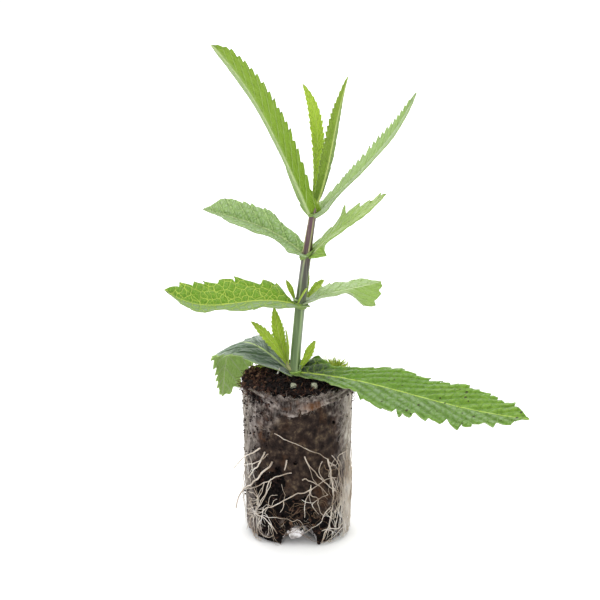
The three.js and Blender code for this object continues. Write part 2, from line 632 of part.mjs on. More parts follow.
function sideShoot({ stub, thickness, leaflets }) {
  const blades = leaflets.map((leaflet) => blade({
    ...leaflet,
    base: new THREE.Vector3(...leaflet.base),
    left: leaflet.fold,
    right: leaflet.fold,
    outline: YOUNG,
    ...LEAFLET_MARGIN,
    teeth: Math.max(2, Math.round(leaflet.length / LEAFLET_TOOTH_SPACING)),
  }));
  const stalk = rod(stub.map((point) => new THREE.Vector3(...point)), thickness, STUB_SIDES, STUB_STEP);
  return fused([stalk, ...blades]);
}

// The leaves grow tight round the stem and each other: each is trimmed to stand GAP clear of the
// stem and of the leaves before it in the list
function trimmedLeaves() {
  const grown = [toManifold(stem(GAP))];
  return Object.entries(LEAVES).map(([name, leaf]) => {
    const clear = grown.reduce((left, solid) => left.subtract(solid), toManifold(stemLeaf(leaf)));
    grown.push(toManifold(stemLeaf(leaf, GAP)));
    return [name, toGeometry(clear), LEAF_FINISH[leaf.node]];
  });
}

// A side shoot is trimmed in the same way to stand clear of the stem and the leaves
function trimmedShoots() {
  const grownLeaves = Object.values(LEAVES).map((leaf) => toManifold(stemLeaf(leaf, GAP)));
  const grown = [toManifold(stem(GAP)), ...grownLeaves];
  return Object.entries(SHOOTS).map(([name, shoot]) => {
    const clear = grown.reduce((left, solid) => left.subtract(solid), sideShoot(shoot));
    return [name, toGeometry(clear), YOUNG_LEAF];
  });
}

// Moss on the rim at the back right: a cushion of bumps over a shallow underside
const MOSS = { centre: [12.9, 9], across: 3.7, deep: 3, high: 2.4, under: 0.35, overRim: 0.6 };

function mossTuft() {
  const shape = new THREE.SphereGeometry(...BALL);
  return closed(reshape(shape, ({ x, y, z }) => {
    const bumps = 1 + 0.12 * Math.sin(9 * x + 2) * Math.cos(8 * z) + 0.08 * Math.sin(13 * y + 5 * x);
    const left = MOSS.centre[0] + x * MOSS.across * bumps;
    const back = MOSS.centre[1] - z * MOSS.deep * bumps;
    const ground = Math.max(soilHeight(left, back), PLUG_HEIGHT + MOSS.overRim) + GAP + MOSS.under;
    return new THREE.Vector3(left, back, ground + y * (y > 0 ? MOSS.high * bumps : MOSS.under));
  }));
}

// Pale grains of perlite lying on the soil, as [x, y, radius]
const GRAINS = { perlite_grain_right: [5.2, -9.2, 1.2], perlite_grain_left: [-1.3, -10.4, 0.9] };
const GRAIN_LUMPS = 0.1;
const GRAIN_REACH = 1.05;

function perliteGrain([x, y, radius]) {
  const grain = new THREE.IcosahedronGeometry(radius, 1);
  reshape(grain, (vertex) => {
    const lump = GRAIN_LUMPS * Math.sin(5 * vertex.x + 3 * vertex.z);
    return vertex.multiplyScalar(1 + lump);
  });
  grain.translate(x, y, soilHeight(x, y) + GAP + radius * GRAIN_REACH);
  return closed(grain);
}

// Assembly

const finish = (color, roughness) => new THREE.MeshStandardMaterial({ color, roughness, metalness: 0 });
const OLD_LEAF = finish('#5f8f3c', 0.55);
const MIDDLE_LEAF = finish('#7fae45', 0.55);
const YOUNG_LEAF = finish('#a3c53c', 0.5);
const STEM = finish('#6a6150', 0.6);
const SOIL = finish('#2e2420', 0.95);
const PAPER = finish('#8b8175', 0.9);
const ROOT = finish('#cdbd9c', 0.8);
const MOSS_GREEN = finish('#a9b83f', 0.95);
const PERLITE = finish('#d8d6c8', 0.85);
const LEAF_FINISH = { 1: OLD_LEAF, 2: MIDDLE_LEAF, 3: MIDDLE_LEAF, 4: MIDDLE_LEAF, 5: YOUNG_LEAF };

const plant = new THREE.Group();

function place(name, geometry, material) {
  const mesh = new THREE.Mesh(geometry, material);
  mesh.name = name;
  plant.add(mesh);
}

place('growing_medium', growingMedium(), SOIL);
place('paper_sleeve', paperSleeve(), PAPER);
place('roots_front', rootWeb(FRONT_ROOTS, { seed: 41, offshoots: 15, from: -98, to: 92 }), ROOT);
place('roots_back', rootWeb(BACK_ROOTS, { seed: 7, offshoots: 11, from: 102, to: 250 }), ROOT);
place('moss_tuft', mossTuft(), MOSS_GREEN);
for (const [name, grain] of Object.entries(GRAINS)) place(name, perliteGrain(grain), PERLITE);
place('stem', stem(), STEM);
for (const [name, leaf, material] of trimmedLeaves()) place(name, leaf, material);
for (const [name, shoot, material] of trimmedShoots()) place(name, shoot, material);

export default plant;
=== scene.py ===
import math
import random
from collections import Counter

import bpy
import numpy as np
from mathutils import Matrix, Vector, noise


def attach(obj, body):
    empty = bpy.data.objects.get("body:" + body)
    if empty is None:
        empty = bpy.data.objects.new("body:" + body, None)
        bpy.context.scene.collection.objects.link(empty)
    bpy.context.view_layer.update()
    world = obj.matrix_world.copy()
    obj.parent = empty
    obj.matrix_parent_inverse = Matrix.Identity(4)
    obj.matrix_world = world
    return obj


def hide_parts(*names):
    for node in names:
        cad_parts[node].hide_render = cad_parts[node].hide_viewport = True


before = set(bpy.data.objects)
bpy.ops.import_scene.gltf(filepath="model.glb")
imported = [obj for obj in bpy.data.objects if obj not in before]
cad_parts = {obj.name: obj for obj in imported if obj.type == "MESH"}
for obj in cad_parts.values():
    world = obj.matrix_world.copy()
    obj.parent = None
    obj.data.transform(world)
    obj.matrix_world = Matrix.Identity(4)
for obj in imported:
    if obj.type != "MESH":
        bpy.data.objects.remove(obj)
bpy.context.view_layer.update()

# Studio: the plug stands on a plain white table in soft daylight, with a bright wall behind it, so
# that light comes through the leaves. The camera stands where the photograph was taken from: half
# a metre in front of the plug, a little above the plant, looking down on it with a long lens.
MM = 0.001
CAMERA_PLACE = (0.75, -520, 234)
CAMERA_DIP = 16.85      # degrees below the level
CAMERA_LENS = 105
TABLE_SIZE = 6000
DAYLIGHT = 1.05
SOFTBOXES = [
    # name, place and target in mm, width in mm, power in watts
    ("window_left", (-700, -500, 900), (0, 0, 80), 700, 3),
    ("window_right", (800, -350, 700), (0, 0, 80), 600, 2),
    ("wall_behind", (-100, 800, 500), (0, 0, 90), 1100, 5),
    ("ceiling", (0, 100, 1100), (0, 0, 60), 900, 3),
]


def linear(colour):
    """The linear colour of an sRGB hex value."""
    parts = [int(colour[i:i + 2], 16) / 255 for i in (1, 3, 5)]
    return [c / 12.92 if c <= 0.04045 else ((c + 0.055) / 1.055) ** 2.4 for c in parts] + [1.0]


def add(tree, kind, inputs=None, stops=None, **settings):
    """A shader node with its settings. An input is a value, a hex colour, another node's output, or
    another node, whose first output in use is then taken."""
    made = tree.nodes.new("ShaderNode" + kind)
    for name, value in settings.items():
        setattr(made, name, value)
    for name, value in (inputs or {}).items():
        if isinstance(value, bpy.types.Node):
            value = next(output for output in value.outputs if output.enabled)
        if isinstance(value, bpy.types.NodeSocket):
            tree.links.new(value, made.inputs[name])
        else:
            made.inputs[name].default_value = linear(value) if isinstance(value, str) else value
    if stops:
        elements = made.color_ramp.elements
        while len(elements) < len(stops):
            elements.new(1)
        for element, (place, colour) in zip(elements, stops):
            element.position = place
            element.color = linear(colour)
    return made


def new_material(name):
    """A material with an empty node tree, and that tree."""
    material = bpy.data.materials.new(name)
    material.use_nodes = True
    material.node_tree.nodes.clear()
    return material, material.node_tree


bpy.ops.mesh.primitive_plane_add(size=TABLE_SIZE * MM)
table = bpy.context.object
table.name = "table"
material, tree = new_material("white_table")
shader = add(tree, "BsdfPrincipled", {"Base Color": "#fafafa", "Roughness": 0.9})
add(tree, "OutputMaterial", {"Surface": shader})
table.data.materials.append(material)

for name, place, target, width, power in SOFTBOXES:
    bpy.ops.object.light_add(type="AREA", location=[c * MM for c in place])
    light = bpy.context.object
    light.name = name
    light.data.energy = power
    light.data.size = width * MM
    aim = Vector(target) - Vector(place)
    light.rotation_euler = aim.to_track_quat("-Z", "Y").to_euler()

world = bpy.data.worlds.new("daylight")
world.use_nodes = True
world.node_tree.nodes["Background"].inputs["Color"].default_value = linear("#ffffff")
world.node_tree.nodes["Background"].inputs["Strength"].default_value = DAYLIGHT
bpy.context.scene.world = world
bpy.context.scene.view_settings.view_transform = "Standard"

bpy.ops.object.camera_add(location=[c * MM for c in CAMERA_PLACE])
camera = bpy.context.object
camera.name = "camera"
camera.data.lens = CAMERA_LENS
camera.data.clip_start = 0.01
camera.rotation_euler = (math.radians(90 - CAMERA_DIP), 0, 0)
bpy.context.scene.camera = camera

# Growing medium: a plug of moist peat and coir, pressed round the root ball, dark and crumbly. Its
# wall is held by the sleeve. The top is heaped round the stem, and the foot is worn to an arch.
PLUG_HEIGHT = 50
RIM_RADIUS = 17.5
FOOT_RADIUS = 16.3
PAPER = 0.6
GAP = 0.3
ARCH_PLACE = (0.6, -17.5, 0)
ARCH_REACH = (6.3, 15, 7.6)
MEDIUM_RELIEF = 0.9
SPHERE_SEGMENTS = 200
SPHERE_RINGS = 150
FOOT_RINGS = 24
TOP_RINGS = 44
draw = random.Random(5)


def smooth(knots, x):
    """A smooth line through [x, y] knots, flat beyond its ends. A plain number stays as it is."""
    if not isinstance(knots, list):
        return knots
    last = len(knots) - 1
    if x <= knots[0][0]:
        return knots[0][1]
    if x >= knots[last][0]:
        return knots[last][1]

    def slope(i):
        (x0, y0), (x1, y1) = knots[max(i - 1, 0)], knots[min(i + 1, last)]
        return (y1 - y0) / (x1 - x0)

    i = next(i for i, knot in enumerate(knots) if knot[0] > x) - 1
    step = knots[i + 1][0] - knots[i][0]
    t = (x - knots[i][0]) / step
    return ((2 * t**3 - 3 * t**2 + 1) * knots[i][1] + (t**3 - 2 * t**2 + t) * step * slope(i)
            + (3 * t**2 - 2 * t**3) * knots[i + 1][1] + (t**3 - t**2) * step * slope(i + 1))


def rough(point, size, seed=0, depth=3):
    """Noise from about -1 to 1 at a point in mm, with lumps of that size in mm."""
    place = Vector(point) / size + Vector((seed * 7.3, seed * 3.1, seed * 5.7))
    return noise.fractal(place, 0.9, 2.1, depth)


def medium_radius(angle, height):
    """The outside of the growing medium in mm, at an angle in radians from the front. It is dented, and
    drawn in at the very foot."""
    share = max(0, height / PLUG_HEIGHT) ** 0.8
    straight = FOOT_RADIUS + (RIM_RADIUS - FOOT_RADIUS) * share - PAPER - GAP
    dents = 0.2 * math.sin(3 * angle + 0.05 * height) + 0.12 * math.sin(7 * angle + 1)
    return straight - 0.15 + dents - 0.8 * math.exp(-max(0, height) / 1.4)


def soil_height(x, y):
    """The top of the growing medium in mm: a mound with a heap at the left and a hollow at the right."""
    out = math.hypot(x, y) / RIM_RADIUS
    heap = 1.7 * math.exp(-((x + 12) ** 2 + (y - 3) ** 2) / 45)
    hollow = math.exp(-((x - 8) ** 2 + (y + 9) ** 2) / 30)
    crumbs = 0.35 * math.sin(1.3 * x + 0.7) * math.cos(1.1 * y) + 0.25 * math.sin(2.1 * x - 1.7 * y)
    return PLUG_HEIGHT + 0.1 + 2 * (1 - min(1, out) ** 1.5) + heap - hollow + crumbs * out


def on_plug(angle, radius, height):
    """The point in mm at an angle in radians from the front, towards +X."""
    return Vector((radius * math.sin(angle), -radius * math.cos(angle), height))


def shape(obj, place):
    """Moves each vertex to where place puts it, in mm. It is given the vertex as the primitive has it."""
    for vertex in obj.data.vertices:
        vertex.co = place(vertex.co.copy()) * MM
    obj.data.update()


def finished(obj, name, *materials, smooth_faces=True):
    """Names a piece, gives it its materials and shades it."""
    obj.name = name
    obj.data.name = name
    for material in materials:
        obj.data.materials.append(material)
    for polygon in obj.data.polygons:
        polygon.use_smooth = smooth_faces
    return obj


def in_arch(off, share=1):
    """The point at a share of the way from the worn arch's middle to its wall, in a direction."""
    return Vector([ARCH_PLACE[i] + off[i] * ARCH_REACH[i] * share for i in range(3)])


def out_of_arch(point):
    """A point inside the worn arch moves to the arch's wall."""
    off = Vector([(point[i] - ARCH_PLACE[i]) / ARCH_REACH[i] for i in range(3)])
    if off.length >= 1 or off.length < 0.001:
        return point
    return in_arch(off.normalized())


def medium_surface(vertex):
    """A unit sphere's vertex on the plug: its lowest rings are the foot, its highest the top."""
    ring = round(math.acos(max(-1, min(1, -vertex.z))) / math.pi * SPHERE_RINGS)
    angle = math.atan2(vertex.x, -vertex.y)
    wall_rings = SPHERE_RINGS - FOOT_RINGS - TOP_RINGS
    if ring < FOOT_RINGS:
        share = ring / FOOT_RINGS
        return out_of_arch(on_plug(angle, share * medium_radius(angle, 0), 0))
    if ring > FOOT_RINGS + wall_rings:
        share = (SPHERE_RINGS - ring) / TOP_RINGS
        point = on_plug(angle, share * medium_radius(angle, PLUG_HEIGHT), 0)
        point.z = soil_height(point.x, point.y) + MEDIUM_RELIEF * (rough(point, 2.6) - 0.25)
        return point
    height = PLUG_HEIGHT * (ring - FOOT_RINGS) / wall_rings
    point = on_plug(angle, medium_radius(angle, height), height)
    lump = rough(point, 1.8) * min(1, height / 2)
    return out_of_arch(on_plug(angle, medium_radius(angle, height) - 0.3 + 0.5 * lump, height))


bpy.ops.mesh.primitive_uv_sphere_add(segments=SPHERE_SEGMENTS, ring_count=SPHERE_RINGS, radius=1)
medium = bpy.context.object
shape(medium, medium_surface)

# Moist peat: nearly black, with red-brown and tan crumbs, and wet enough to glint here and there.
# Its crumbs are 1.4 mm across and its patches of wet and dry 5.6 mm. tint makes a crumb paler.
peat, tree = new_material("moist_peat")
place = add(tree, "TexCoord").outputs["Object"]
crumbs = add(tree, "TexNoise", {"Vector": place, "Scale": 700, "Detail": 6, "Roughness": 0.7})
patches = add(tree, "TexNoise", {"Vector": place, "Scale": 180, "Detail": 3})
tint = add(tree, "Attribute", attribute_name="tint").outputs["Fac"]
tinted = add(tree, "Math", {0: crumbs, 1: tint}, operation="ADD")
tinted = add(tree, "Math", {0: tinted, 1: 0.62}, operation="MULTIPLY")
colour = add(tree, "ValToRGB", {"Fac": tinted}, stops=[
    (0.25, "#060404"), (0.45, "#100a09"), (0.6, "#1c1210"), (0.75, "#38241d"), (0.92, "#6e5542")])
bump = add(tree, "Bump", {"Height": crumbs, "Strength": 0.8, "Distance": 0.4 * MM})
dryness = add(tree, "MapRange", {"Value": patches, 3: 0.55, 4: 0.95})
shader = add(tree, "BsdfPrincipled", {
    "Base Color": colour, "Roughness": dryness, "Normal": bump, "Specular IOR Level": 0.12})
add(tree, "OutputMaterial", {"Surface": shader})
finished(medium, "growing_medium_core", peat)
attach(medium, "root")
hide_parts("growing_medium")

# Crumbs of peat: they lie loose on top, at the torn edges, in the windows and in the arch, and stick
# to the outside of the wet sleeve, most at the upper left.
CRUMB_SIZES = (0.2, 0.95)
CRUMBS_ON_TOP = 2600
CRUMBS_ON_WALL = 2600
CRUMBS_IN_ARCH = 260
CRUMBS_AT_RIM = 420
CRUMBS_ON_PAPER = 1500


def copies(name, source, places, material):
    """One mesh with a copy of source at each (matrix in mm, tint) of places. The source is deleted."""
    corners = np.array([v.co for v in source.data.vertices])
    faces = np.array([p.vertices[:] for p in source.data.polygons])
    points = np.concatenate([
        corners @ np.array(matrix.to_3x3()).T + np.array(matrix.translation) for matrix, _ in places])
    shifts = np.arange(len(places))[:, None, None] * len(corners)
    mesh = bpy.data.meshes.new(name)
    mesh.from_pydata(points * MM, [], (faces[None] + shifts).reshape(-1, faces.shape[1]))
    tints = np.repeat([tint for _, tint in places], len(corners))
    mesh.attributes.new("tint", "FLOAT", "POINT").data.foreach_set("value", tints.astype(np.float32))
    bpy.data.objects.remove(source)
    made = bpy.data.objects.new(name, mesh)
    bpy.context.collection.objects.link(made)
    return finished(made, name, material, smooth_faces=False)


def crumb_lump():
    """A small irregular lump, 1 mm in radius, of 20 faces."""
    bpy.ops.mesh.primitive_ico_sphere_add(subdivisions=1, radius=1)
    lump = bpy.context.object
    for vertex in lump.data.vertices:
        vertex.co *= 1 + 0.45 * noise.noise(vertex.co * 1.7 + Vector((3, 0, 0)))
    return lump


def any_way(spread=1):
    """A random vector, as likely to point one way as another."""
    return Vector([draw.gauss(0, spread) for _ in range(3)])


def tumbled(point, size):
    """A random turn of a lump of that size at a point in mm."""
    turn = Matrix.Rotation(draw.uniform(0, 6.3), 4, any_way().normalized())
    sides = Matrix.Diagonal((size, size * draw.uniform(0.6, 1), size * draw.uniform(0.5, 0.9), 1))
    return Matrix.Translation(point) @ turn @ sides


def one_of(*ranges):
    """A random number from one of several ranges."""
    return draw.choice([draw.uniform(*limits) for limits in ranges])


def crumb_places():
    """Where crumbs lie, with a tint for each from 0, dark, to 1, tan."""
    places = []
    for _ in range(CRUMBS_ON_TOP):
        angle, share = draw.uniform(-math.pi, math.pi), math.sqrt(draw.uniform(0, 1))
        point = on_plug(angle, share * (RIM_RADIUS - 0.9), 0)
        if math.hypot(point.x + 0.8, point.y) < 1.9:
            continue
        size = draw.uniform(*CRUMB_SIZES) * draw.uniform(0.5, 1)
        rim = max(0, share - 0.86) / 0.14
        point.z = soil_height(point.x, point.y) + size * 0.4 + draw.uniform(0, 0.8) * rim
        light = 0.5 * max(0, min(1, (-point.x - 6) / 7)) + 0.1 * rim - 0.22
        places.append((tumbled(point, size), draw.betavariate(2, 3) + light))
    for _ in range(CRUMBS_ON_WALL):
        angle, height = draw.uniform(-math.pi, math.pi), draw.uniform(0.6, 30)
        size = draw.uniform(*CRUMB_SIZES)
        point = out_of_arch(on_plug(angle, medium_radius(angle, height) - 0.15, height))
        places.append((tumbled(point, size), draw.betavariate(2, 3)))
    for _ in range(CRUMBS_IN_ARCH):
        off = any_way().normalized()
        off.y, off.z = abs(off.y), abs(off.z)
        point = in_arch(off)
        if math.hypot(point.x, point.y) < medium_radius(0, 5) and point.z > 0.5:
            places.append((tumbled(point, draw.uniform(0.25, 0.7)), draw.betavariate(2, 4)))
    for _ in range(CRUMBS_AT_RIM):
        angle = math.radians(one_of((-110, -22), (-110, -40), (60, 250)))
        height = draw.triangular(47, 51.8, 50.6)
        point = on_plug(angle, medium_radius(angle, 49) + GAP + draw.uniform(-0.6, 0.6), height)
        size = draw.uniform(0.25, 1.15 if -115 < math.degrees(angle) < -40 else 0.8)
        places.append((tumbled(point, size), draw.betavariate(2, 3) + draw.uniform(-0.1, 0.25)))
    for _ in range(CRUMBS_ON_PAPER):
        degrees = draw.choice((draw.gauss(-60, 30), draw.gauss(-60, 30), draw.uniform(-180, 180)))
        angle = math.radians(degrees)
        height = draw.triangular(4, 52, 46)
        size = 0.1 + 0.4 * draw.random() ** 3
        if rough(on_plug(angle, 17, height), 3, 30) < 0.1:
            continue
        point = on_plug(angle, medium_radius(angle, height) + GAP + PAPER + 0.35 * size, height)
        if draw.random() < 0.12 or not (-0.25 < angle < 1.1 and height < 47):
            places.append((tumbled(point, size), draw.betavariate(2, 3)))
    return places


loose_crumbs = copies("peat_crumbs", crumb_lump(), crumb_places(), peat)
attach(loose_crumbs, "root")


def only(obj):
    """Makes a piece the one that the next operators work on."""
    bpy.ops.object.select_all(action="DESELECT")
    obj.select_set(True)
    bpy.context.view_layer.objects.active = obj


def strands(name, lines, material, resolution=0):
    """Thin round strands as one mesh. A line is a list of (point in mm, radius in mm)."""
    data = bpy.data.curves.new(name, "CURVE")
    data.dimensions = "3D"
    data.bevel_depth = MM
    data.bevel_resolution = resolution
    data.use_fill_caps = True
    for line in lines:
        spline = data.splines.new("POLY")
        spline.points.add(len(line) - 1)
        for knot, (point, radius) in zip(spline.points, line):
            knot.co = (*(point * MM), 1)
            knot.radius = radius
    made = bpy.data.objects.new(name, data)
    bpy.context.collection.objects.link(made)
    only(made)
    bpy.ops.object.convert(target="MESH")
    made = bpy.context.object
    made.data.materials.clear()
    return finished(made, name, material)


def wandering(start, heading, length, radius, steps=6, bend=0.5):
    """A strand that wanders from a point, thinning to its end."""
    line = []
    point, heading = Vector(start), Vector(heading).normalized()
    for step in range(steps + 1):
        line.append((point, radius * (1 - 0.7 * step / steps)))
        heading = (heading + any_way(bend)).normalized()
        point = point + heading * length / steps
    return line


# Coir: short stiff fibres of coconut husk, from dark brown to straw, in spans of 3 mm along a fibre.
# They lie on the peat and stand out between the rim and the sleeve.
COIR_ON_TOP = 520
COIR_AT_RIM = 150
coir, tree = new_material("coir_fibre")
place = add(tree, "TexCoord").outputs["Object"]
mottle = add(tree, "TexNoise", {"Vector": place, "Scale": 320, "Detail": 2})
colour = add(tree, "ValToRGB", {"Fac": mottle}, stops=[
    (0.3, "#1e110d"), (0.5, "#43291f"), (0.68, "#74533d"), (0.85, "#a58a69")])
shader = add(tree, "BsdfPrincipled", {"Base Color": colour, "Roughness": 0.7, "Specular IOR Level": 0.15})
add(tree, "OutputMaterial", {"Surface": shader})
fibres = []
for _ in range(COIR_ON_TOP):
    angle, share = draw.uniform(-math.pi, math.pi), math.sqrt(draw.uniform(0.1, 1))
    point = on_plug(angle, share * (RIM_RADIUS - 0.6), 0)
    point.z = soil_height(point.x, point.y) + 0.3
    lean = (draw.gauss(0, 1), draw.gauss(0, 1), draw.gauss(0.15, 0.35) + 0.4 * max(0, share - 0.8))
    fibres.append(wandering(point, lean, draw.uniform(1.2, 4), draw.uniform(0.05, 0.14), 4, 0.35))
for _ in range(COIR_AT_RIM):
    angle = math.radians(one_of((-115, -30), (-100, -60), (78, 105)))
    height = draw.triangular(43, 51.5, 50)
    start = on_plug(angle, medium_radius(angle, 49) + GAP + 0.4, height)
    out = on_plug(angle, draw.uniform(0.1, 1), 0)
    fibres.append(wandering(start, out + Vector((0, 0, draw.gauss(0.3, 0.6))), draw.uniform(1, 3.6),
                            draw.uniform(0.06, 0.17), 4, 0.4))
coir_fibres = strands("coir_fibres", fibres, coir)
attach(coir_fibres, "root")

# Paper sleeve: long-fibred plug paper, wet and half rotted. It is grey and matted with crumbs at the
# upper left, thin and brown in the middle, pale and woolly at the right, torn open low down. A
# second ply laps over the top of the front, and its lower edge shows as a pale torn V.
SLEEVE_COLUMNS = 330
SLEEVE_ROWS = 112
LAP_COLUMNS = 190
LAP_ROWS = 26
PAPER_SHOWN = 0.28
OFF_MEDIUM = 0.3
LEAST_SCRAP = 60        # vertices
TOP_EDGE = [[-180, 50.3], [-90, 50.2], [-50, 50.6], [-8, 50], [20, 50.5], [60, 50.4],
            [124, 49.8], [180, 50.3]]
BOTTOM_EDGE = [[-180, 1.3], [-70, 1.6], [-32, 2.6], [-22, 4.6], [-15, 9], [0, 9.8], [12, 9.2],
               [24, 5.6], [40, 6], [60, 5], [88, 1.6], [180, 1.3]]
PLY_EDGE = [[-60, 51], [-38, 50], [-22, 48.5], [-9, 44.5], [2, 45.3], [12, 46.3], [28, 47.5],
            [45, 48], [70, 49.5]]
TEARS = [
    # angle and height of the middle, then half the width in degrees and half the height in mm
    (-36, 14, 17, 11), (-10, 13.5, 15, 3.6), (-22, 22, 8, 4), (38, 6, 27, 4.2), (14, 10, 7, 3),
    (166, 12, 9, 6), (-150, 22, 5, 4), (106, 21, 5, 5), (-100, 9, 8, 4), (215, 7, 14, 4),
    (130, 4, 12, 3),
]
PATCHES = {
    # strength, then angle and height of the middle, and how far it reaches round the plug and up it
    "brown": [(1.7, 12, 38, 36, 13), (1.6, 2, 19, 52, 15), (0.9, -32, 27, 22, 12)],
    "pale": [(1.5, 88, 30, 26, 34), (0.75, -88, 34, 20, 24), (0.6, 180, 30, 60, 30), (0.35, -52, 31, 12, 9)],
    "dirt": [(0.7, -45, 44, 36, 12), (0.5, -20, 49, 60, 4)],
}


def sleeve_radius(angle, height):
    """The inside of the sleeve in mm."""
    return medium_radius(angle, max(height, 3)) + GAP


def crumpled(angle, height):
    """How far the wet paper stands off, in mm."""
    point = on_plug(angle, RIM_RADIUS, height)
    smooth_part = 0.35 if -0.2 < angle < 0.9 and 26 < height < 46 else 1
    return 0.22 * rough(point, 6, 1) + 0.16 * smooth_part * rough(point, 1.3, 2)


def apart(degrees, middle):
    """The way from one angle to another, from -180 to 180 degrees."""
    return (degrees - middle + 180) % 360 - 180


def torn(angle, height):
    """Above 0 where the paper is gone."""
    degrees = math.degrees(angle)
    point = on_plug(angle, RIM_RADIUS, height)
    most = -1.0
    for middle, up, across, tall in TEARS:
        most = max(most, 1 - (apart(degrees, middle) / across) ** 2 - ((height - up) / tall) ** 2)
    ragged = 0.55 * rough(point, 2.4, 3) + 0.3 * rough(point, 0.9, 4)
    rot = 0.35 * max(0, 1 - height / 26) - 0.72
    return max(most + ragged, rot + rough(point, 3.4, 5) * 0.9)


def patch(degrees, height, middle, up, across, tall):
    """From 1 in the middle of a patch to 0 well outside it."""
    return math.exp(-(apart(degrees, middle) / across) ** 2 - ((height - up) / tall) ** 2)


def zones(angle, height, lap):
    """Shares of thin brown paper, pale woolly paper, dirt and rust at a place. lap is for the outer ply."""
    degrees = math.degrees(angle)
    point = on_plug(angle, RIM_RADIUS, height)
    drift = 0.4 * rough(point, 4, 6) + 0.35 * rough(point, 1.5, 7)
    brown, pale, dirt = (sum(strength * patch(degrees, height, *spot) for strength, *spot in spots)
                         for spots in PATCHES.values())
    # the dark line of a seam runs down the middle of the front
    seam = math.exp(-((degrees + 8) / 0.9) ** 2) * max(0, min(1, (46 - height) / 3, (height - 24) / 8))
    rust = 0.4 * rough(point, 5, 16) - 0.05
    low = max(0, 1 - height / 24)
    brown -= 0.2 * seam
    pale += 0.1 * seam - 0.4 * brown
    if lap:
        # pale along its hem and one crease, and woolly at its top
        hem = smooth(PLY_EDGE, degrees)
        ridge = (0.6 + 0.5 * rough(point, 2, 18)) * math.exp(-((height - hem - 0.35) / 0.5) ** 2)
        if 24 < degrees < 62:
            ridge += 0.8 * math.exp(-((height - 48.9 - 0.05 * (degrees - 30)) / 0.35) ** 2)
        fluff = math.exp(-((height - 51) / 1.5) ** 2)
        fluff *= max(0, min(1, (degrees + 14) / 12, (62 - degrees) / 16))
        brown = 0.66 - 0.7 * ridge - 0.2 * (-6 < degrees < 30)
        pale = 0.45 * ridge + 0.35 * fluff - 0.2
        dirt = 0.4 - 0.4 * ridge
        rust = 0.9 * patch(degrees, height, 18, 47.6, 11, 1.8) + 0.5 * rough(point, 2, 17)
    return [min(1, max(0, v)) for v in (brown + drift, pale + 0.6 * drift, dirt + drift + 0.5 * low, rust)]


def sheet(columns, rows, place, gone, lap):
    """A sheet of paper on the plug: a grid shaped by place, torn where gone says, then thickened."""
    bpy.ops.mesh.primitive_grid_add(x_subdivisions=columns, y_subdivisions=rows, size=1)
    made = bpy.context.object
    mesh = made.data
    values = []
    for vertex in mesh.vertices:
        angle, height, radius = place(vertex.co.x + 0.5, vertex.co.y + 0.5)
        values.append(zones(angle, height, lap))
        vertex.co = on_plug(angle, radius, height) * MM
    colours = mesh.color_attributes.new("zones", "FLOAT_COLOR", "POINT")
    colours.data.foreach_set("color", np.array(values, dtype=np.float32).ravel())
    merged(made, 0.02)
    cut_away(made, lambda point: gone(math.atan2(point.x, -point.y), point.z) > 0)
    drop_scraps(made)
    thickened(made, PAPER_SHOWN)
    return made


def merged(obj, reach, outwards=False):
    """Joins vertices within reach in mm, where a sheet closes, and can turn all faces out."""
    only(obj)
    bpy.ops.object.mode_set(mode="EDIT")
    bpy.ops.mesh.select_all(action="SELECT")
    bpy.ops.mesh.remove_doubles(threshold=reach * MM)
    if outwards:
        bpy.ops.mesh.normals_make_consistent(inside=False)
    bpy.ops.object.mode_set(mode="OBJECT")


def delete(obj, gone):
    """Deletes each vertex that gone holds True for."""
    only(obj)
    bpy.ops.object.mode_set(mode="EDIT")
    bpy.ops.mesh.select_mode(type="VERT")
    bpy.ops.mesh.select_all(action="DESELECT")
    bpy.ops.object.mode_set(mode="OBJECT")
    obj.data.vertices.foreach_set("select", gone)
    bpy.ops.object.mode_set(mode="EDIT")
    bpy.ops.mesh.delete(type="VERT")
    bpy.ops.object.mode_set(mode="OBJECT")


def cut_away(obj, gone):
    """Deletes the vertices that gone, given a point in mm, is true for."""
    delete(obj, [gone(vertex.co / MM) for vertex in obj.data.vertices])


def drop_scraps(obj):
    """Deletes the scraps that hang on nothing and have fewer vertices than LEAST_SCRAP."""
    next_one = list(range(len(obj.data.vertices)))

    def scrap(i):
        while next_one[i] != i:
            next_one[i] = next_one[next_one[i]]
            i = next_one[i]
        return i

    for edge in obj.data.edges:
        first, second = edge.vertices
        next_one[scrap(first)] = scrap(second)
    scraps = [scrap(i) for i in range(len(next_one))]
    sizes = Counter(scraps)
    delete(obj, [sizes[number] < LEAST_SCRAP for number in scraps])


def thickened(obj, thickness, offset=0, **settings):
    """Gives an open sheet its thickness in mm."""
    solid = obj.modifiers.new("thickness", "SOLIDIFY")
    solid.thickness = thickness * MM
    solid.offset = offset
    for name, value in settings.items():
        setattr(solid, name, value)
    only(obj)
    bpy.ops.object.modifier_apply(modifier=solid.name)


def sleeve_place(u, v):
    """Where the inner ply is, at shares of the way round it and up it."""
    angle = (u * 2 - 1) * math.pi
    degrees = math.degrees(angle)
    point = on_plug(angle, RIM_RADIUS, 50)
    top = smooth(TOP_EDGE, degrees) + 0.5 * rough(point, 1.2, 8) + 0.4 * rough(point, 3, 9)
    bottom = smooth(BOTTOM_EDGE, degrees) + 0.6 * rough(point, 1.5, 10)
    height = bottom + (top - bottom) * v
    return angle, height, sleeve_radius(angle, height) + OFF_MEDIUM + crumpled(angle, height)


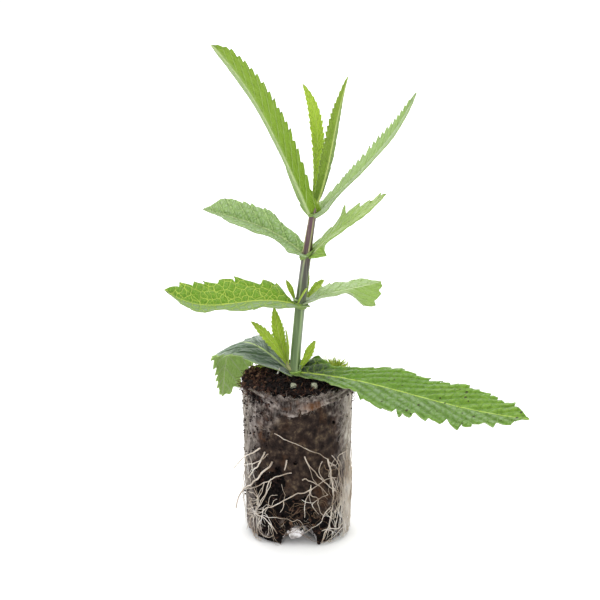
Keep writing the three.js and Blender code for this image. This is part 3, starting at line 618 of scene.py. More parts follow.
def lap_place(u, v):
    """Where the outer ply is, at shares of its width and its height. It stands off most at its hem."""
    degrees = -56 + 124 * u
    angle = math.radians(degrees)
    point = on_plug(angle, RIM_RADIUS, 50)
    top = smooth(TOP_EDGE, degrees) + 0.5 + 1.1 * rough(point, 1.2, 11) + 0.6 * rough(point, 3, 12)
    bottom = smooth(PLY_EDGE, degrees) + 0.35 * rough(point, 1.3, 13)
    height = bottom + max(0.2, top - bottom) * v
    hem = math.exp(-((v - 0.1) / 0.12) ** 2)
    lift = 0.62 + 0.55 * hem + 0.25 * rough(point + Vector((0, 0, 20 * v)), 2.5, 15)
    return angle, height, sleeve_radius(angle, height) + OFF_MEDIUM + lift + crumpled(angle, height)


def lap_torn(angle, height):
    """Above 0 in the few small holes of the outer ply."""
    return rough(on_plug(angle, RIM_RADIUS, height), 1.6, 14) - 0.72


sleeve = sheet(SLEEVE_COLUMNS, SLEEVE_ROWS, sleeve_place, torn, False)
lap = sheet(LAP_COLUMNS, LAP_ROWS, lap_place, lap_torn, True)

# Wet plug paper: long pale fibres matted at all angles, stained brown by the peat. It lets some
# light through, and a painted highlight lightens the fibres outside the brown patches. A fibre is
# 0.7 mm wide and 3 mm long, a mottle 2.4 mm across, a stain 7 mm, and a speck of peat 1.1 mm.
FIBRE_TURNS = [((0, 0.7, 0), (1500, 1500, 300)), ((-0.9, 0, 0.3), (1300, 1300, 280)),
               ((0.2, -1.3, 0.5), (1400, 1400, 320))]
PAPER_TONES = {
    "grey": [(0.36, "#241c1b"), (0.46, "#4c4240"), (0.55, "#7a706c"), (0.68, "#b4aba6")],
    "brown": [(0.34, "#16100e"), (0.47, "#2b211d"), (0.57, "#41352d"), (0.7, "#6c5d4a")],
    "pale": [(0.33, "#6a6055"), (0.45, "#a79d90"), (0.55, "#cbc3b7"), (0.68, "#f0ebe2")],
}
RUST = "#7a4f2a"
PEAT_SPECK = "#241a17"
LIT_FIBRE = "#c2bab2"
paper, tree = new_material("wet_plug_paper")
place = add(tree, "TexCoord").outputs["Object"]
zone = add(tree, "Attribute", attribute_name="zones")
parts = add(tree, "SeparateColor", {"Color": zone.outputs["Color"]})
fibre = None
for turn, stretch in FIBRE_TURNS:
    turned = add(tree, "Mapping", {"Vector": place, "Rotation": turn, "Scale": stretch})
    layer = add(tree, "TexNoise", {"Vector": turned, "Scale": 1, "Detail": 1.5, "Distortion": 0.4})
    ridge = add(tree, "MapRange", {"Value": layer, 1: 0.52, 2: 0.72})
    fibre = add(tree, "Math", {0: fibre, 1: ridge}, operation="MAXIMUM") if fibre else ridge
mottle = add(tree, "TexNoise", {"Vector": place, "Scale": 420, "Detail": 5, "Roughness": 0.65})
stains = add(tree, "TexNoise", {"Vector": place, "Scale": 150, "Detail": 4, "Roughness": 0.6})
specks = add(tree, "TexNoise", {"Vector": place, "Scale": 900, "Detail": 3, "Roughness": 0.6})
tones = {name: add(tree, "ValToRGB", {"Fac": mottle}, stops=stops) for name, stops in PAPER_TONES.items()}
rust = add(tree, "MapRange", {"Value": stains, 1: 0.4, 2: 0.6, 3: 0.2, 4: 0.9})
rust = add(tree, "Math", {0: rust, 1: zone.outputs["Alpha"]}, operation="MULTIPLY")
threshold = add(tree, "MapRange", {"Value": parts.outputs["Blue"], 3: 0.66, 4: 0.5})
speck = add(tree, "Math", {0: specks, 1: threshold}, operation="SUBTRACT")
speck = add(tree, "MapRange", {"Value": speck, 1: 0, 2: 0.05, 4: 0.85})
# painted highlight: the lit fibre colour laid on fibres outside the brown patches
fibre_highlight = add(tree, "MapRange", {"Value": parts.outputs["Red"], 3: 0.34, 4: 0.0})
fibre_highlight = add(tree, "Math", {0: fibre, 1: fibre_highlight}, operation="MULTIPLY")
base = tones["grey"]
for share, over in ((parts.outputs["Red"], tones["brown"]), (parts.outputs["Green"], tones["pale"]),
                    (rust, RUST), (speck, PEAT_SPECK), (fibre_highlight, LIT_FIBRE)):
    base = add(tree, "Mix", {0: share, 6: base, 7: over}, data_type="RGBA")
relief = add(tree, "Math", {0: fibre, 1: mottle}, operation="ADD")
bump = add(tree, "Bump", {"Height": relief, "Strength": 0.7, "Distance": 0.2 * MM})
shader = add(tree, "BsdfPrincipled", {
    "Base Color": base, "Roughness": 0.62, "Normal": bump, "Specular IOR Level": 0.08})
through = add(tree, "BsdfTranslucent", {"Color": base})
mixed = add(tree, "MixShader", {0: 0.18, 1: shader, 2: through})
add(tree, "OutputMaterial", {"Surface": mixed})
for piece, name in ((sleeve, "paper_sleeve_inner_ply"), (lap, "paper_sleeve_outer_ply")):
    finished(piece, name, paper)
    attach(piece, "root")
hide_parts("paper_sleeve")

# Wool of the paper: single fibres, 0.04 to 0.1 mm thick, that have worked loose from it. Some stand
# off its torn edges and its sides, and others lie along its sides, felted to it.
STANDING_WOOL = 760
LYING_WOOL = 420
wool, tree = new_material("paper_wool")
shader = add(tree, "BsdfPrincipled", {"Base Color": "#a8a096", "Roughness": 0.7, "Specular IOR Level": 0.1})
add(tree, "OutputMaterial", {"Surface": shader})
fibres = []
for _ in range(STANDING_WOOL):
    angle = draw.uniform(-math.pi, math.pi)
    kind = draw.random()
    if kind < 0.22:
        degrees = one_of((-58, 70), (-12, 34))
        angle = math.radians(degrees)
        height = smooth(TOP_EDGE, degrees) + draw.uniform(-0.6, 0.8)
    elif kind < 0.3:
        degrees = draw.uniform(-30, 60)
        angle = math.radians(degrees)
        height = smooth(PLY_EDGE, degrees) + draw.uniform(-0.4, 0.3)
    else:
        height = draw.uniform(3, 50)
    if torn(angle, height) > 0.1 or kind >= 0.3 and -0.5 < angle < 0.8:
        continue
    start = on_plug(angle, sleeve_radius(angle, height) + (0.9 if kind < 0.3 else 0.5), height)
    out = on_plug(angle, 1, 0)
    side = Vector((math.cos(angle), math.sin(angle), 0))
    lean = out * draw.uniform(0.1, 0.6) + side * draw.gauss(0, 1) + Vector((0, 0, draw.gauss(0, 1)))
    fibres.append(wandering(start, lean, draw.uniform(0.7, 2.2), draw.uniform(0.02, 0.045), 4, 0.4))
for _ in range(LYING_WOOL):
    degrees = one_of((48, 96), (60, 96), (-96, -66), (96, 264))
    height, slope = draw.uniform(4, 48), draw.gauss(0.5, 0.6)
    length = draw.uniform(1.5, 6)
    line = []
    for i in range(7):
        angle = math.radians(degrees + slope * length * i / 2)
        at = min(49.5, height + length * i / 6)
        away = sleeve_radius(angle, at) + 0.62 + crumpled(angle, at) + 0.1 * math.sin(i * 1.3)
        line.append((on_plug(angle, away, at), draw.uniform(0.025, 0.05)))
    if torn(math.radians(degrees), height) < 0:
        fibres.append(line)
paper_wool = strands("paper_wool", fibres, wool)
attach(paper_wool, "root")

# Roots: cream, juicy and smooth. They come out through the wet paper, run down over it, branch and
# fan out near the foot. The thickest is 0.65 mm across. The ones here are thick enough to tell apart.
ROOT_LIFT = 0.35
SIDE_STEP = 6           # degrees
MAIN_ROOTS = [
    # radius in mm, then angle in degrees, height in mm, and how far it stands off
    (0.17, [(-24, 38.5), (-17, 37.5), (-5, 36), (1, 35), (8, 34.1)]),
    (0.3, [(-43, 32.2), (-59, 28.8), (-87, 23.5, 0.9), (-87, 20.6, 3.3)]),
    (0.18, [(-32, 31.1), (-40, 28.6), (-55, 25.9), (-87, 22.3, 0.6), (-87, 22.6, 2.1)]),
    (0.31, [(-36, 31.3), (-45, 26.6), (-57, 22.7), (-67, 19.9)]),
    (0.37, [(-27, 28.6), (-33, 26.4), (-40, 24.2), (-47, 21.5), (-62, 18.1), (-87, 13.0, 0.7),
            (-87, 10.1, 2.2), (-87, 7.0, 2.9)]),
    (0.3, [(-11, 30.1), (-12, 28.4), (-14, 26.5)]),
    (0.2, [(-6, 25.9), (-19, 24.6), (-29, 22.6), (-38, 20.9), (-52, 18.2), (-87, 13.5)]),
    (0.2, [(-29, 22.6), (-33, 20.2), (-37, 17.4), (-44, 13.7), (-54, 9.1)]),
    (0.17, [(-38, 20.7), (-41, 18.0), (-47, 14.7), (-52, 10.1)]),
    (0.15, [(-29, 21.9), (-32, 19.3), (-39, 15.4), (-46, 12.0), (-56, 8.8)]),
    (0.15, [(-54, 18.0), (-50, 16.0), (-47, 14.5), (-48, 12.1)]),
    (0.17, [(-67, 15.3), (-54, 15.8), (-48, 14.9), (-47, 13.4), (-53, 9.2)]),
    (0.12, [(-66, 13.1), (-57, 13.6), (-48, 14.3)]),
    (0.12, [(-68, 11.4), (-56, 13.2), (-48, 14.1)]),
    (0.12, [(-70, 10.1), (-59, 11.6), (-50, 13.2)]),
    (0.13, [(-73, 8.6), (-60, 10.3), (-51, 11.8)]),
    (0.13, [(-73, 6.8), (-62, 7.8), (-53, 9.2)]),
    (0.22, [(15, 20.1), (7, 19.4), (-1, 18.9), (-8, 17.4), (-16, 16.1), (-24, 14.5), (-33, 12.7),
            (-42, 10.8), (-53, 9.2)]),
    (0.16, [(-15, 16.2), (-15, 14.3), (-19, 11.8)]),
    (0.1, [(-17, 21.6), (-16, 19.8), (-13, 18.0), (-15, 16.2)]),
    (0.11, [(-22, 16.5), (-27, 15.0), (-29, 13.6), (-36, 13.7), (-40, 12.1)]),
    (0.11, [(-22, 17.9), (-28, 17.1), (-32, 15.6), (-33, 13.3), (-36, 13.1)]),
    (0.22, [(-53, 9.2), (-46, 9.1), (-37, 8.4), (-30, 7.0), (-26, 5.5), (-23, 4.4)]),
    (0.13, [(-42, 9.4), (-33, 9.4), (-22, 10.1), (-12, 9.7), (-4, 9.2), (0, 9.9), (1, 9.9), (5, 8.3),
            (8, 6.3)]),
    (0.22, [(-54, 9.0), (-57, 5.8), (-55, 3.2), (-57, 0.9)]),
    (0.15, [(-52, 8.5), (-50, 5.9), (-53, 1.8)]),
    (0.14, [(-46, 8.5), (-49, 4.8), (-45, 3.1), (-34, 2.3), (-27, 3.7)]),
    (0.13, [(-33, 6.7), (-32, 5.3), (-36, 3.0)]),
    (0.16, [(-59, 7.8), (-67, 4.0), (-61, 2.6), (-53, 0.7), (-43, 0.9)]),
    (0.12, [(-42, 8.9), (-45, 5.5), (-43, 3.8)]),
    (0.18, [(8, 34.1), (16, 32.6), (23, 32.0), (28, 30.3), (33, 29.3)]),
    (0.33, [(33, 29.4), (35, 26.8), (38, 22.5), (41, 18.0), (40, 13.4), (38, 8.9), (35, 6.0),
            (30, 3.5), (27, 0.9)]),
    (0.24, [(7, 31.3), (11, 28.6), (17, 26.2), (22, 23.9), (30, 21.9), (39, 18.8), (50, 16.6)]),
    (0.17, [(26, 28.9), (23, 28.1), (23, 25.7), (26, 23.4), (30, 21.9)]),
    (0.22, [(4, 23.5), (8, 24.0), (10, 23.0), (18, 21.8), (25, 20.0), (34, 17.3)]),
    (0.16, [(45, 22.1), (36, 22.7), (28, 22.3), (18, 20.7), (14, 19.6), (9, 16.6), (7, 12.9), (7, 10.7)]),
    (0.18, [(14, 21.7), (13, 19.9), (15, 18.0), (21, 16.8), (22, 14.6), (25, 11.9), (29, 10.2)]),
    (0.16, [(33, 17.4), (25, 16.6), (18, 15.7), (16, 14.6), (19, 12.9), (23, 11.1)]),
    (0.12, [(4, 16.7), (9, 15.7), (18, 15.4)]),
    (0.26, [(38, 12.6), (31, 11.3), (27, 9.1)]),
    (0.18, [(67, 29.4), (47, 29.2), (46, 26.8), (38, 26.5)]),
    (0.15, [(38, 29.9), (44, 27.9), (50, 25.5), (51, 20.8), (60, 16.7), (63, 12.9)]),
    (0.18, [(61, 23.2), (60, 18.3), (55, 13.8), (46, 11.9), (45, 8.6)]),
    (0.15, [(53, 19.7), (57, 15.5), (50, 11.8), (43, 10.6), (40, 7.8)]),
    (0.15, [(71, 13.9), (54, 12.1), (46, 10.4), (43, 8.2)]),
    (0.13, [(51, 16.7), (43, 13.8), (36, 11.3), (29, 9.9)]),
    (0.22, [(62, 5.1), (47, 4.5), (36, 5.4), (27, 5.3)]),
    (0.15, [(64, 3.5), (50, 3.0), (38, 1.7), (29, 0.9)]),
    (0.13, [(27, 8.8), (16, 6.7), (8, 5.6)]),
    (0.12, [(34, 5.1), (31, 2.8), (28, 0.8)]),
    (0.15, [(42, 4.4), (40, 2.1), (38, 0.6)]),
    (0.28, [(112, 34), (124, 27), (121, 19), (132, 11), (128, 3)]),
    (0.24, [(172, 30), (150, 25), (121, 19)]),
    (0.25, [(150, 25), (158, 16), (154, 8), (166, 1.8)]),
    (0.22, [(158, 16), (180, 13), (203, 15), (222, 8)]),
    (0.31, [(236, 31), (218, 26), (203, 15), (196, 6), (204, 1.8)]),
    (0.22, [(218, 26), (232, 19), (222, 8), (230, 2)]),
]


def along(knots, step=0.9):
    """Points every step mm on a smooth line through (angle, height, lift) knots."""
    knots = [Vector((*knot, 0)) if len(knot) == 2 else Vector(knot) for knot in knots]
    spots = [0.0]
    for a, b in zip(knots, knots[1:]):
        spots.append(spots[-1] + math.hypot((b.x - a.x) * 0.3, b.y - a.y) + 0.01)
    tracks = [[[s, knot[i]] for s, knot in zip(spots, knots)] for i in range(3)]
    count = max(3, round(spots[-1] / step))
    return [[smooth(track, spots[-1] * i / count) for track in tracks] for i in range(count + 1)]


def root_line(knots, radius, seed, taper=0.45):
    """A root on the sleeve, with the small kinks that it grew round crumbs."""
    route = along(knots)
    line = []
    for i, (degrees, height, lift) in enumerate(route):
        kink = Vector((i * 0.35, seed * 3.7, 0))
        angle = math.radians(degrees + 1.6 * noise.noise(kink))
        height = max(0.5, height + 0.5 * noise.noise(kink + Vector((0, 0, 9))))
        away = sleeve_radius(angle, height) + PAPER + ROOT_LIFT + lift + 0.25 * noise.noise(kink * 2)
        share = i / (len(route) - 1)
        line.append((on_plug(angle, away, height), radius * (1 - taper * share)))
    return line


def side_roots(parents, count, seed, low, high, sizes):
    """Thinner roots that leave the ones already there and wander down between two angles, low and high."""
    pick = random.Random(seed)
    made = []
    starts = [spot for _, knots in parents for spot in along(knots) if low < spot[0] < high]
    for number in range(count):
        degrees, height, lift = pick.choice(starts)
        turn = pick.choice((-1, 1))
        knots = [(degrees, height, lift * 0.5)]
        for _ in range(pick.randint(2, 5)):
            degrees += turn * pick.uniform(0, SIDE_STEP)
            if not low < degrees < high:
                turn = -turn
                degrees += 2 * turn * SIDE_STEP
            height -= pick.uniform(0.4, 4)
            knots.append((degrees, max(0.7, min(34, height)), pick.uniform(0, 0.5)))
        made.append(root_line(knots, pick.uniform(*sizes), number + seed, 0.7))
    return made


# Skin of a live root: cream, satin and a little see-through, in tones that change every 9 mm along it,
# with a relief of 0.7 mm cells
root_skin, tree = new_material("live_root")
place = add(tree, "TexCoord").outputs["Object"]
mottle = add(tree, "TexNoise", {"Vector": place, "Scale": 110, "Detail": 3})
colour = add(tree, "ValToRGB", {"Fac": mottle}, stops=[
    (0.3, "#7c6d5e"), (0.42, "#a39586"), (0.56, "#c9beb1"), (0.72, "#eae5dd")])
fine = add(tree, "TexNoise", {"Vector": place, "Scale": 1500, "Detail": 2})
bump = add(tree, "Bump", {"Height": fine, "Strength": 0.3, "Distance": 0.1 * MM})
shader = add(tree, "BsdfPrincipled", {
    "Base Color": colour, "Roughness": 0.45, "Normal": bump, "Specular IOR Level": 0.25,
    "Subsurface Weight": 0.2, "Subsurface Radius": (0.8, 0.6, 0.4), "Subsurface Scale": 0.6 * MM})
add(tree, "OutputMaterial", {"Surface": shader})

BRANCHES = [
    # name and node of the piece, the side roots' radius in mm, and for each group of side roots:
    # how many, their seed, and the two angles that they stay between
    ("roots_over_front", "roots_front", (0.07, 0.15),
     [(4, 3, -40, 40), (16, 12, -92, -36), (34, 31, 30, 92)]),
    ("roots_over_back", "roots_back", (0.1, 0.2), [(60, 8, 100, 258)]),
]
for name, node_name, sizes, groups in BRANCHES:
    at_back = node_name == "roots_back"
    mains = [(radius, knots) for radius, knots in MAIN_ROOTS if (knots[0][0] >= 100) == at_back]
    lines = [root_line(knots, radius * 0.88, i + 1, 0.35) for i, (radius, knots) in enumerate(mains)]
    for count, seed, low, high in groups:
        lines += side_roots(mains, count, seed, low, high, sizes)
    piece = strands(name, lines, root_skin, 1)
    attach(piece, "root")
    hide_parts(node_name)

# Fine roots: pale threads that hang down the right side and the back, and fill the arch. A fan of
# root hairs starts where the roots meet on the left. A few old ones have turned brown.
ROOT_HAIRS = 14
HANGING_THREADS = 180
ARCH_THREADS = 60
BROWN_THREADS = 26
HAIRS_START = (-55, 9.5)
OLD_ROOTS = [
    (0.14, [(29, 27.6), (30, 26.1), (38, 25.3), (49, 25.0), (50, 25.8), (46, 26.9)]),
    (0.07, [(2, 5.5), (9, 3.8), (19, 2.2), (24, 1.6)]),
    (0.06, [(-20, 5.5), (-14, 4.5), (-6, 5.8), (2, 5.6), (7, 4.5), (15, 3.0)]),
    (0.06, [(-16, 3.0), (-8, 5.4), (-2, 6.3)]),
]
old_root, tree = new_material("old_root")
shader = add(tree, "BsdfPrincipled", {"Base Color": "#75604c", "Roughness": 0.5, "Specular IOR Level": 0.2})
add(tree, "OutputMaterial", {"Surface": shader})
threads = []
for _ in range(ROOT_HAIRS):
    turn, reach = draw.uniform(0, math.tau), draw.uniform(3, 6)
    middle = (HAIRS_START[0] + 2 * reach * math.cos(turn) + draw.gauss(0, 3),
              max(0.8, 10 + 0.5 * reach * math.sin(turn)), 0.2)
    end = (HAIRS_START[0] + 4 * reach * math.cos(turn), max(0.7, HAIRS_START[1] + reach * math.sin(turn)), 0)
    threads.append(root_line([HAIRS_START, middle, end], draw.uniform(0.06, 0.12), draw.uniform(0, 50), 0.4))
for _ in range(HANGING_THREADS):
    degrees = one_of((48, 100), (56, 82), (100, 262))
    height = draw.triangular(7, 33, 14)
    knots = [(degrees, height, 0)]
    for _ in range(5):
        degrees += draw.gauss(0, 1.8)
        height -= draw.uniform(1, 5)
        knots.append((degrees, max(0.7, height), draw.uniform(0, 0.7)))
    threads.append(root_line(knots, draw.uniform(0.05, 0.12), draw.uniform(0, 50), 0.5))
for _ in range(ARCH_THREADS):
    angle = math.radians(draw.uniform(-20, 22))
    start = on_plug(angle, medium_radius(0, 9) - draw.uniform(0, 4), draw.uniform(7, 9.5))
    down = (draw.gauss(0, 0.8), -0.2, -1)
    threads.append(wandering(start, down, draw.uniform(2, 5), draw.uniform(0.04, 0.09), 6, 0.5))
# a pale dead root end that stands in the peat
threads.append(wandering((-6.6, -1.5, 52), (0.25, 0, 1), 3.2, 0.34, 4, 0.1))
fine_roots = strands("fine_roots", threads, root_skin)
threads = [root_line(knots, radius, i + 60, 0.2) for i, (radius, knots) in enumerate(OLD_ROOTS)]
for i in range(BROWN_THREADS):
    # low on the front
    degrees, height, turn = draw.uniform(-38, 30), draw.uniform(6, 17), draw.choice((-1, 1))
    knots = []
    for _ in range(5):
        knots.append((degrees, max(5, height), 0.1))
        degrees += turn * draw.uniform(1, 7)
        height -= draw.uniform(-0.8, 2.4)
    threads.append(root_line(knots, draw.uniform(0.04, 0.08), i + 90, 0.4))
old_roots = strands("old_roots", threads, old_root)
for piece in (fine_roots, old_roots):
    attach(piece, "root")

# Lining of the arch: a scrap of the sleeve turned in under the foot, and another that hangs loose in
# its mouth. Both are felted white with root hairs, in clouds 2.4 mm across.
bpy.ops.mesh.primitive_grid_add(x_subdivisions=60, y_subdivisions=40, size=1)
lining = bpy.context.object


def lining_place(vertex):
    """A vertex of the grid on the arch's wall, round it along X and up it along Y."""
    turn, climb = vertex.x * 2.5, 0.12 + (vertex.y + 0.5) * 1.3
    off = Vector((math.sin(turn) * math.cos(climb), math.cos(turn) * math.cos(climb), math.sin(climb)))
    shrink = 0.93 + 0.03 * rough(off * 5, 2, 20)
    return in_arch(off, shrink)


shape(lining, lining_place)
cut_away(lining, lambda point: rough(point, 2.2, 21) > 0.42
         or math.hypot(point.x, point.y) > medium_radius(0, 5) - 0.4)
thickened(lining, 0.15)
root_felt, tree = new_material("root_felt")
place = add(tree, "TexCoord").outputs["Object"]
cloud = add(tree, "TexNoise", {"Vector": place, "Scale": 420, "Detail": 3})
colour = add(tree, "ValToRGB", {"Fac": cloud}, stops=[
    (0.35, "#8f8986"), (0.5, "#c9c5c4"), (0.65, "#eceaec")])
shader = add(tree, "BsdfPrincipled", {"Base Color": colour, "Roughness": 0.8, "Specular IOR Level": 0.2})
add(tree, "OutputMaterial", {"Surface": shader})
finished(lining, "arch_lining", root_felt)


def scrap_place(u, v):
    """Where the loose scrap is, at shares of its width and its height."""
    angle, height = math.radians(-13 + 23 * u), 1.6 + 5 * v
    return angle, height, sleeve_radius(angle, height) - 1.6 + 1.4 * v + 0.4 * math.sin(8 * u)


def scrap_gone(angle, height):
    """Above 0 outside the scrap's ragged outline."""
    ragged = 0.9 * rough(on_plug(angle, RIM_RADIUS, height), 1.6, 22)
    return ((math.degrees(angle) + 2) / 10) ** 2 + ((height - 4.4) / 2.4) ** 2 + ragged - 1


scrap = finished(sheet(60, 20, scrap_place, scrap_gone, False), "arch_scrap", root_felt)
for piece in (lining, scrap):
    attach(piece, "root")

# Moss: a tuft of short bright shoots on the rim at the back right, and a few at the left. They grow
# on the wet peat, yellow-green where light comes through them, in tones that change every 1.7 mm.
MOSS_SHOOTS = 620
moss_green, tree = new_material("moss_shoot")
place = add(tree, "TexCoord").outputs["Object"]
mottle = add(tree, "TexNoise", {"Vector": place, "Scale": 600, "Detail": 2})
colour = add(tree, "ValToRGB", {"Fac": mottle}, stops=[
    (0.3, "#8aa82c"), (0.5, "#c3d64c"), (0.75, "#ecf2a0")])
shader = add(tree, "BsdfPrincipled", {"Base Color": colour, "Roughness": 0.7})
through = add(tree, "BsdfTranslucent", {"Color": colour})
mixed = add(tree, "MixShader", {0: 0.35, 1: shader, 2: through})
add(tree, "OutputMaterial", {"Surface": mixed})
shoots = []
for _ in range(MOSS_SHOOTS):
    # kind chooses the clump, of the three that the shoots stand in
    kind = draw.random()
    if kind < 0.7:
        x, y, tall = draw.gauss(12.4, 2.3), draw.gauss(10, 1.6), draw.uniform(1.8, 4.6)
    elif kind < 0.82:
        x, y, tall = draw.gauss(-12, 1.2), draw.gauss(5, 1.2), draw.uniform(0.6, 1.8)
    else:
        x, y, tall = draw.gauss(-14, 1.4), draw.gauss(-7, 3), draw.uniform(0.3, 0.7)
    if math.hypot(x, y) > 17.6 or kind > 0.86:
        continue
    start = (x, y, soil_height(x, y) - 0.2)
    lean = (draw.gauss(0.1, 0.45), draw.gauss(0, 0.45), 1)
    shoots.append(wandering(start, lean, tall, draw.uniform(0.1, 0.22), 4, 0.3))
moss = strands("moss_tuft_shoots", shoots, moss_green)
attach(moss, "root")
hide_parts("moss_tuft")

# Perlite: two grains of white volcanic glass, puffed by heat, lying on the peat. They are matt and
# pitted, with pits 0.4 mm apart, and stained by the wet.
# each grain's place in mm and its radius
GRAINS = {"perlite_grain_right": (5.2, -9.2, 1.0), "perlite_grain_left": (-1.3, -10.4, 0.85)}
perlite, tree = new_material("perlite")
place = add(tree, "TexCoord").outputs["Object"]
pits = add(tree, "TexVoronoi", {"Vector": place, "Scale": 2600})
colour = add(tree, "ValToRGB", {"Fac": pits}, stops=[(0.1, "#5a5c4a"), (0.6, "#a3a68e")])
bump = add(tree, "Bump", {"Height": pits, "Strength": 0.6, "Distance": 0.2 * MM})
shader = add(tree, "BsdfPrincipled", {"Base Color": colour, "Roughness": 0.8, "Normal": bump})
add(tree, "OutputMaterial", {"Surface": shader})
for name, (x, y, radius) in GRAINS.items():
    bpy.ops.mesh.primitive_ico_sphere_add(subdivisions=4, radius=1)
    grain = bpy.context.object
    middle = Vector((x, y, soil_height(x, y) + radius * 0.9))
    shape(grain, lambda v: middle + v * radius * (1 + 0.45 * rough(v, 0.9, x) + 0.16 * rough(v, 0.3, y)))
    finished(grain, name + "_pitted", perlite)
    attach(grain, "root")
    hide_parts(name)

# Stem: square with a raised rib on each corner, as all verbenas have, a little swollen at each pair
# of leaves. It is green low down and turns purple-brown between the upper pairs.
# at heights in mm: how far the stem is to the right, its radius, and the turn of its ribs in degrees
STEM_LEAN = [[44, -1.5], [53.2, -0.95], [62, -0.35], [75.5, 0.9], [91.3, 2.8], [103.7, 4.7], [110.5, 6]]
STEM_RADIUS = [[44, 1.5], [53.2, 1.55], [75.5, 1.5], [91.3, 1.38], [103.7, 1.05], [107.1, 0.7],
               [110.5, 0.3]]
STEM_TURNS = [[44, 20], [74.5, 20], [76.5, -18], [90.3, -18], [92.3, 20], [110, 20]]
STEM_FOOT = 44.5
BUD_TIP = 110.4
NODE_HEIGHT = {1: 53.2, 2: 75.5, 3: 91.3, 4: 103.7, 5: 107.1}
STEM_SIDES = 72
STEM_RINGS = 300


def uv_layer(mesh, name, values):
    """A UV map from one (u, v) for each vertex."""
    layer = mesh.uv_layers.new(name=name)
    for loop in mesh.loops:
        layer.data[loop.index].uv = values[loop.vertex_index]


def stem_turn(height):
    """The turn of the ribs, in radians: it changes at each pair of leaves."""
    return math.radians(smooth(STEM_TURNS, height))


def stem_surface(vertex):
    """A unit sphere's vertex on the stem, with its ribs and its swellings at the pairs of leaves."""
    share = math.acos(max(-1, min(1, -vertex.z))) / math.pi
    height = STEM_FOOT + (BUD_TIP - STEM_FOOT) * (1 - math.cos(share * math.pi)) / 2
    ring = min(1, math.sin(share * math.pi) * 9)
    turn = math.atan2(vertex.x, -vertex.y)
    swelling = max(0.12 * math.exp(-(((height - node) / 1.3) ** 2)) for node in NODE_HEIGHT.values())
    off_rib = turn - stem_turn(height)
    square = 0.07 * math.cos(4 * off_rib) + 0.06 * math.exp(-(math.sin(2 * off_rib) / 0.3) ** 2)
    grain = 0.012 * noise.noise(Vector((turn * 6, height * 0.25, 0)))
    radius = ring * smooth(STEM_RADIUS, height) * (1 + square + swelling + grain)
    return Vector((smooth(STEM_LEAN, height), 0, height)) + on_plug(turn, radius, 0)


bpy.ops.mesh.primitive_uv_sphere_add(segments=STEM_SIDES, ring_count=STEM_RINGS, radius=1)
stem = bpy.context.object
turns = [math.atan2(v.co.x, -v.co.y) for v in stem.data.vertices]
shape(stem, stem_surface)
uv_layer(stem.data, "stem", [(turn - stem_turn(v.co.z / MM), v.co.z / MM)
                             for turn, v in zip(turns, stem.data.vertices)])

# Skin of a square stem: satin, green, flushed purple where the sun reaches it, with paler ribs. Fine
# streaks, 0.5 mm wide and 17 mm long, run up it.
FACE_TONES = [(0.0, "#76885a"), (0.12, "#5f7848"), (0.38, "#546a3a"), (0.46, "#4a5040"),
              (0.62, "#3f3d36"), (0.7, "#483236"), (0.86, "#583a46"), (1.0, "#4a2a3c")]
RIB_TONES = [(0.0, "#93a878"), (0.38, "#869c68"), (0.46, "#84906f"), (0.62, "#858f70"),
             (0.72, "#a8ad72"), (1.0, "#7c5a66")]
skin, tree = new_material("verbena_stem")
spot = add(tree, "SeparateXYZ", {"Vector": add(tree, "UVMap", uv_map="stem")})
place = add(tree, "TexCoord").outputs["Object"]
level = add(tree, "MapRange", {"Value": spot.outputs["Y"], 1: 50, 2: 110})
faces = add(tree, "ValToRGB", {"Fac": level}, stops=FACE_TONES)
ribs = add(tree, "ValToRGB", {"Fac": level}, stops=RIB_TONES)
around = add(tree, "Math", {0: spot.outputs["X"], 1: 4}, operation="MULTIPLY")
around = add(tree, "Math", {0: around}, operation="COSINE")
rib = add(tree, "MapRange", {"Value": around, 1: 0.45, 2: 0.98})
streaks = add(tree, "Mapping", {"Vector": place, "Scale": (2200, 2200, 60)})
streak = add(tree, "TexNoise", {"Vector": streaks, "Scale": 1, "Detail": 3})
streaked = add(tree, "MapRange", {"Value": streak, 1: 0.35, 2: 0.7, 3: -0.2, 4: 0.35})
pale_share = add(tree, "Math", {0: rib, 1: streaked}, operation="ADD", use_clamp=True)
base = add(tree, "Mix", {0: pale_share, 6: faces, 7: ribs}, data_type="RGBA")
bump = add(tree, "Bump", {"Height": streak, "Strength": 0.35, "Distance": 0.1 * MM})
shader = add(tree, "BsdfPrincipled", {
    "Base Color": base, "Roughness": 0.42, "Normal": bump, "Subsurface Weight": 0.1,
    "Subsurface Radius": (0.4, 0.9, 0.2), "Subsurface Scale": 0.6 * MM})
add(tree, "OutputMaterial", {"Surface": shader})
finished(stem, "stem_ribbed", skin)
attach(stem, "root")
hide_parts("stem")

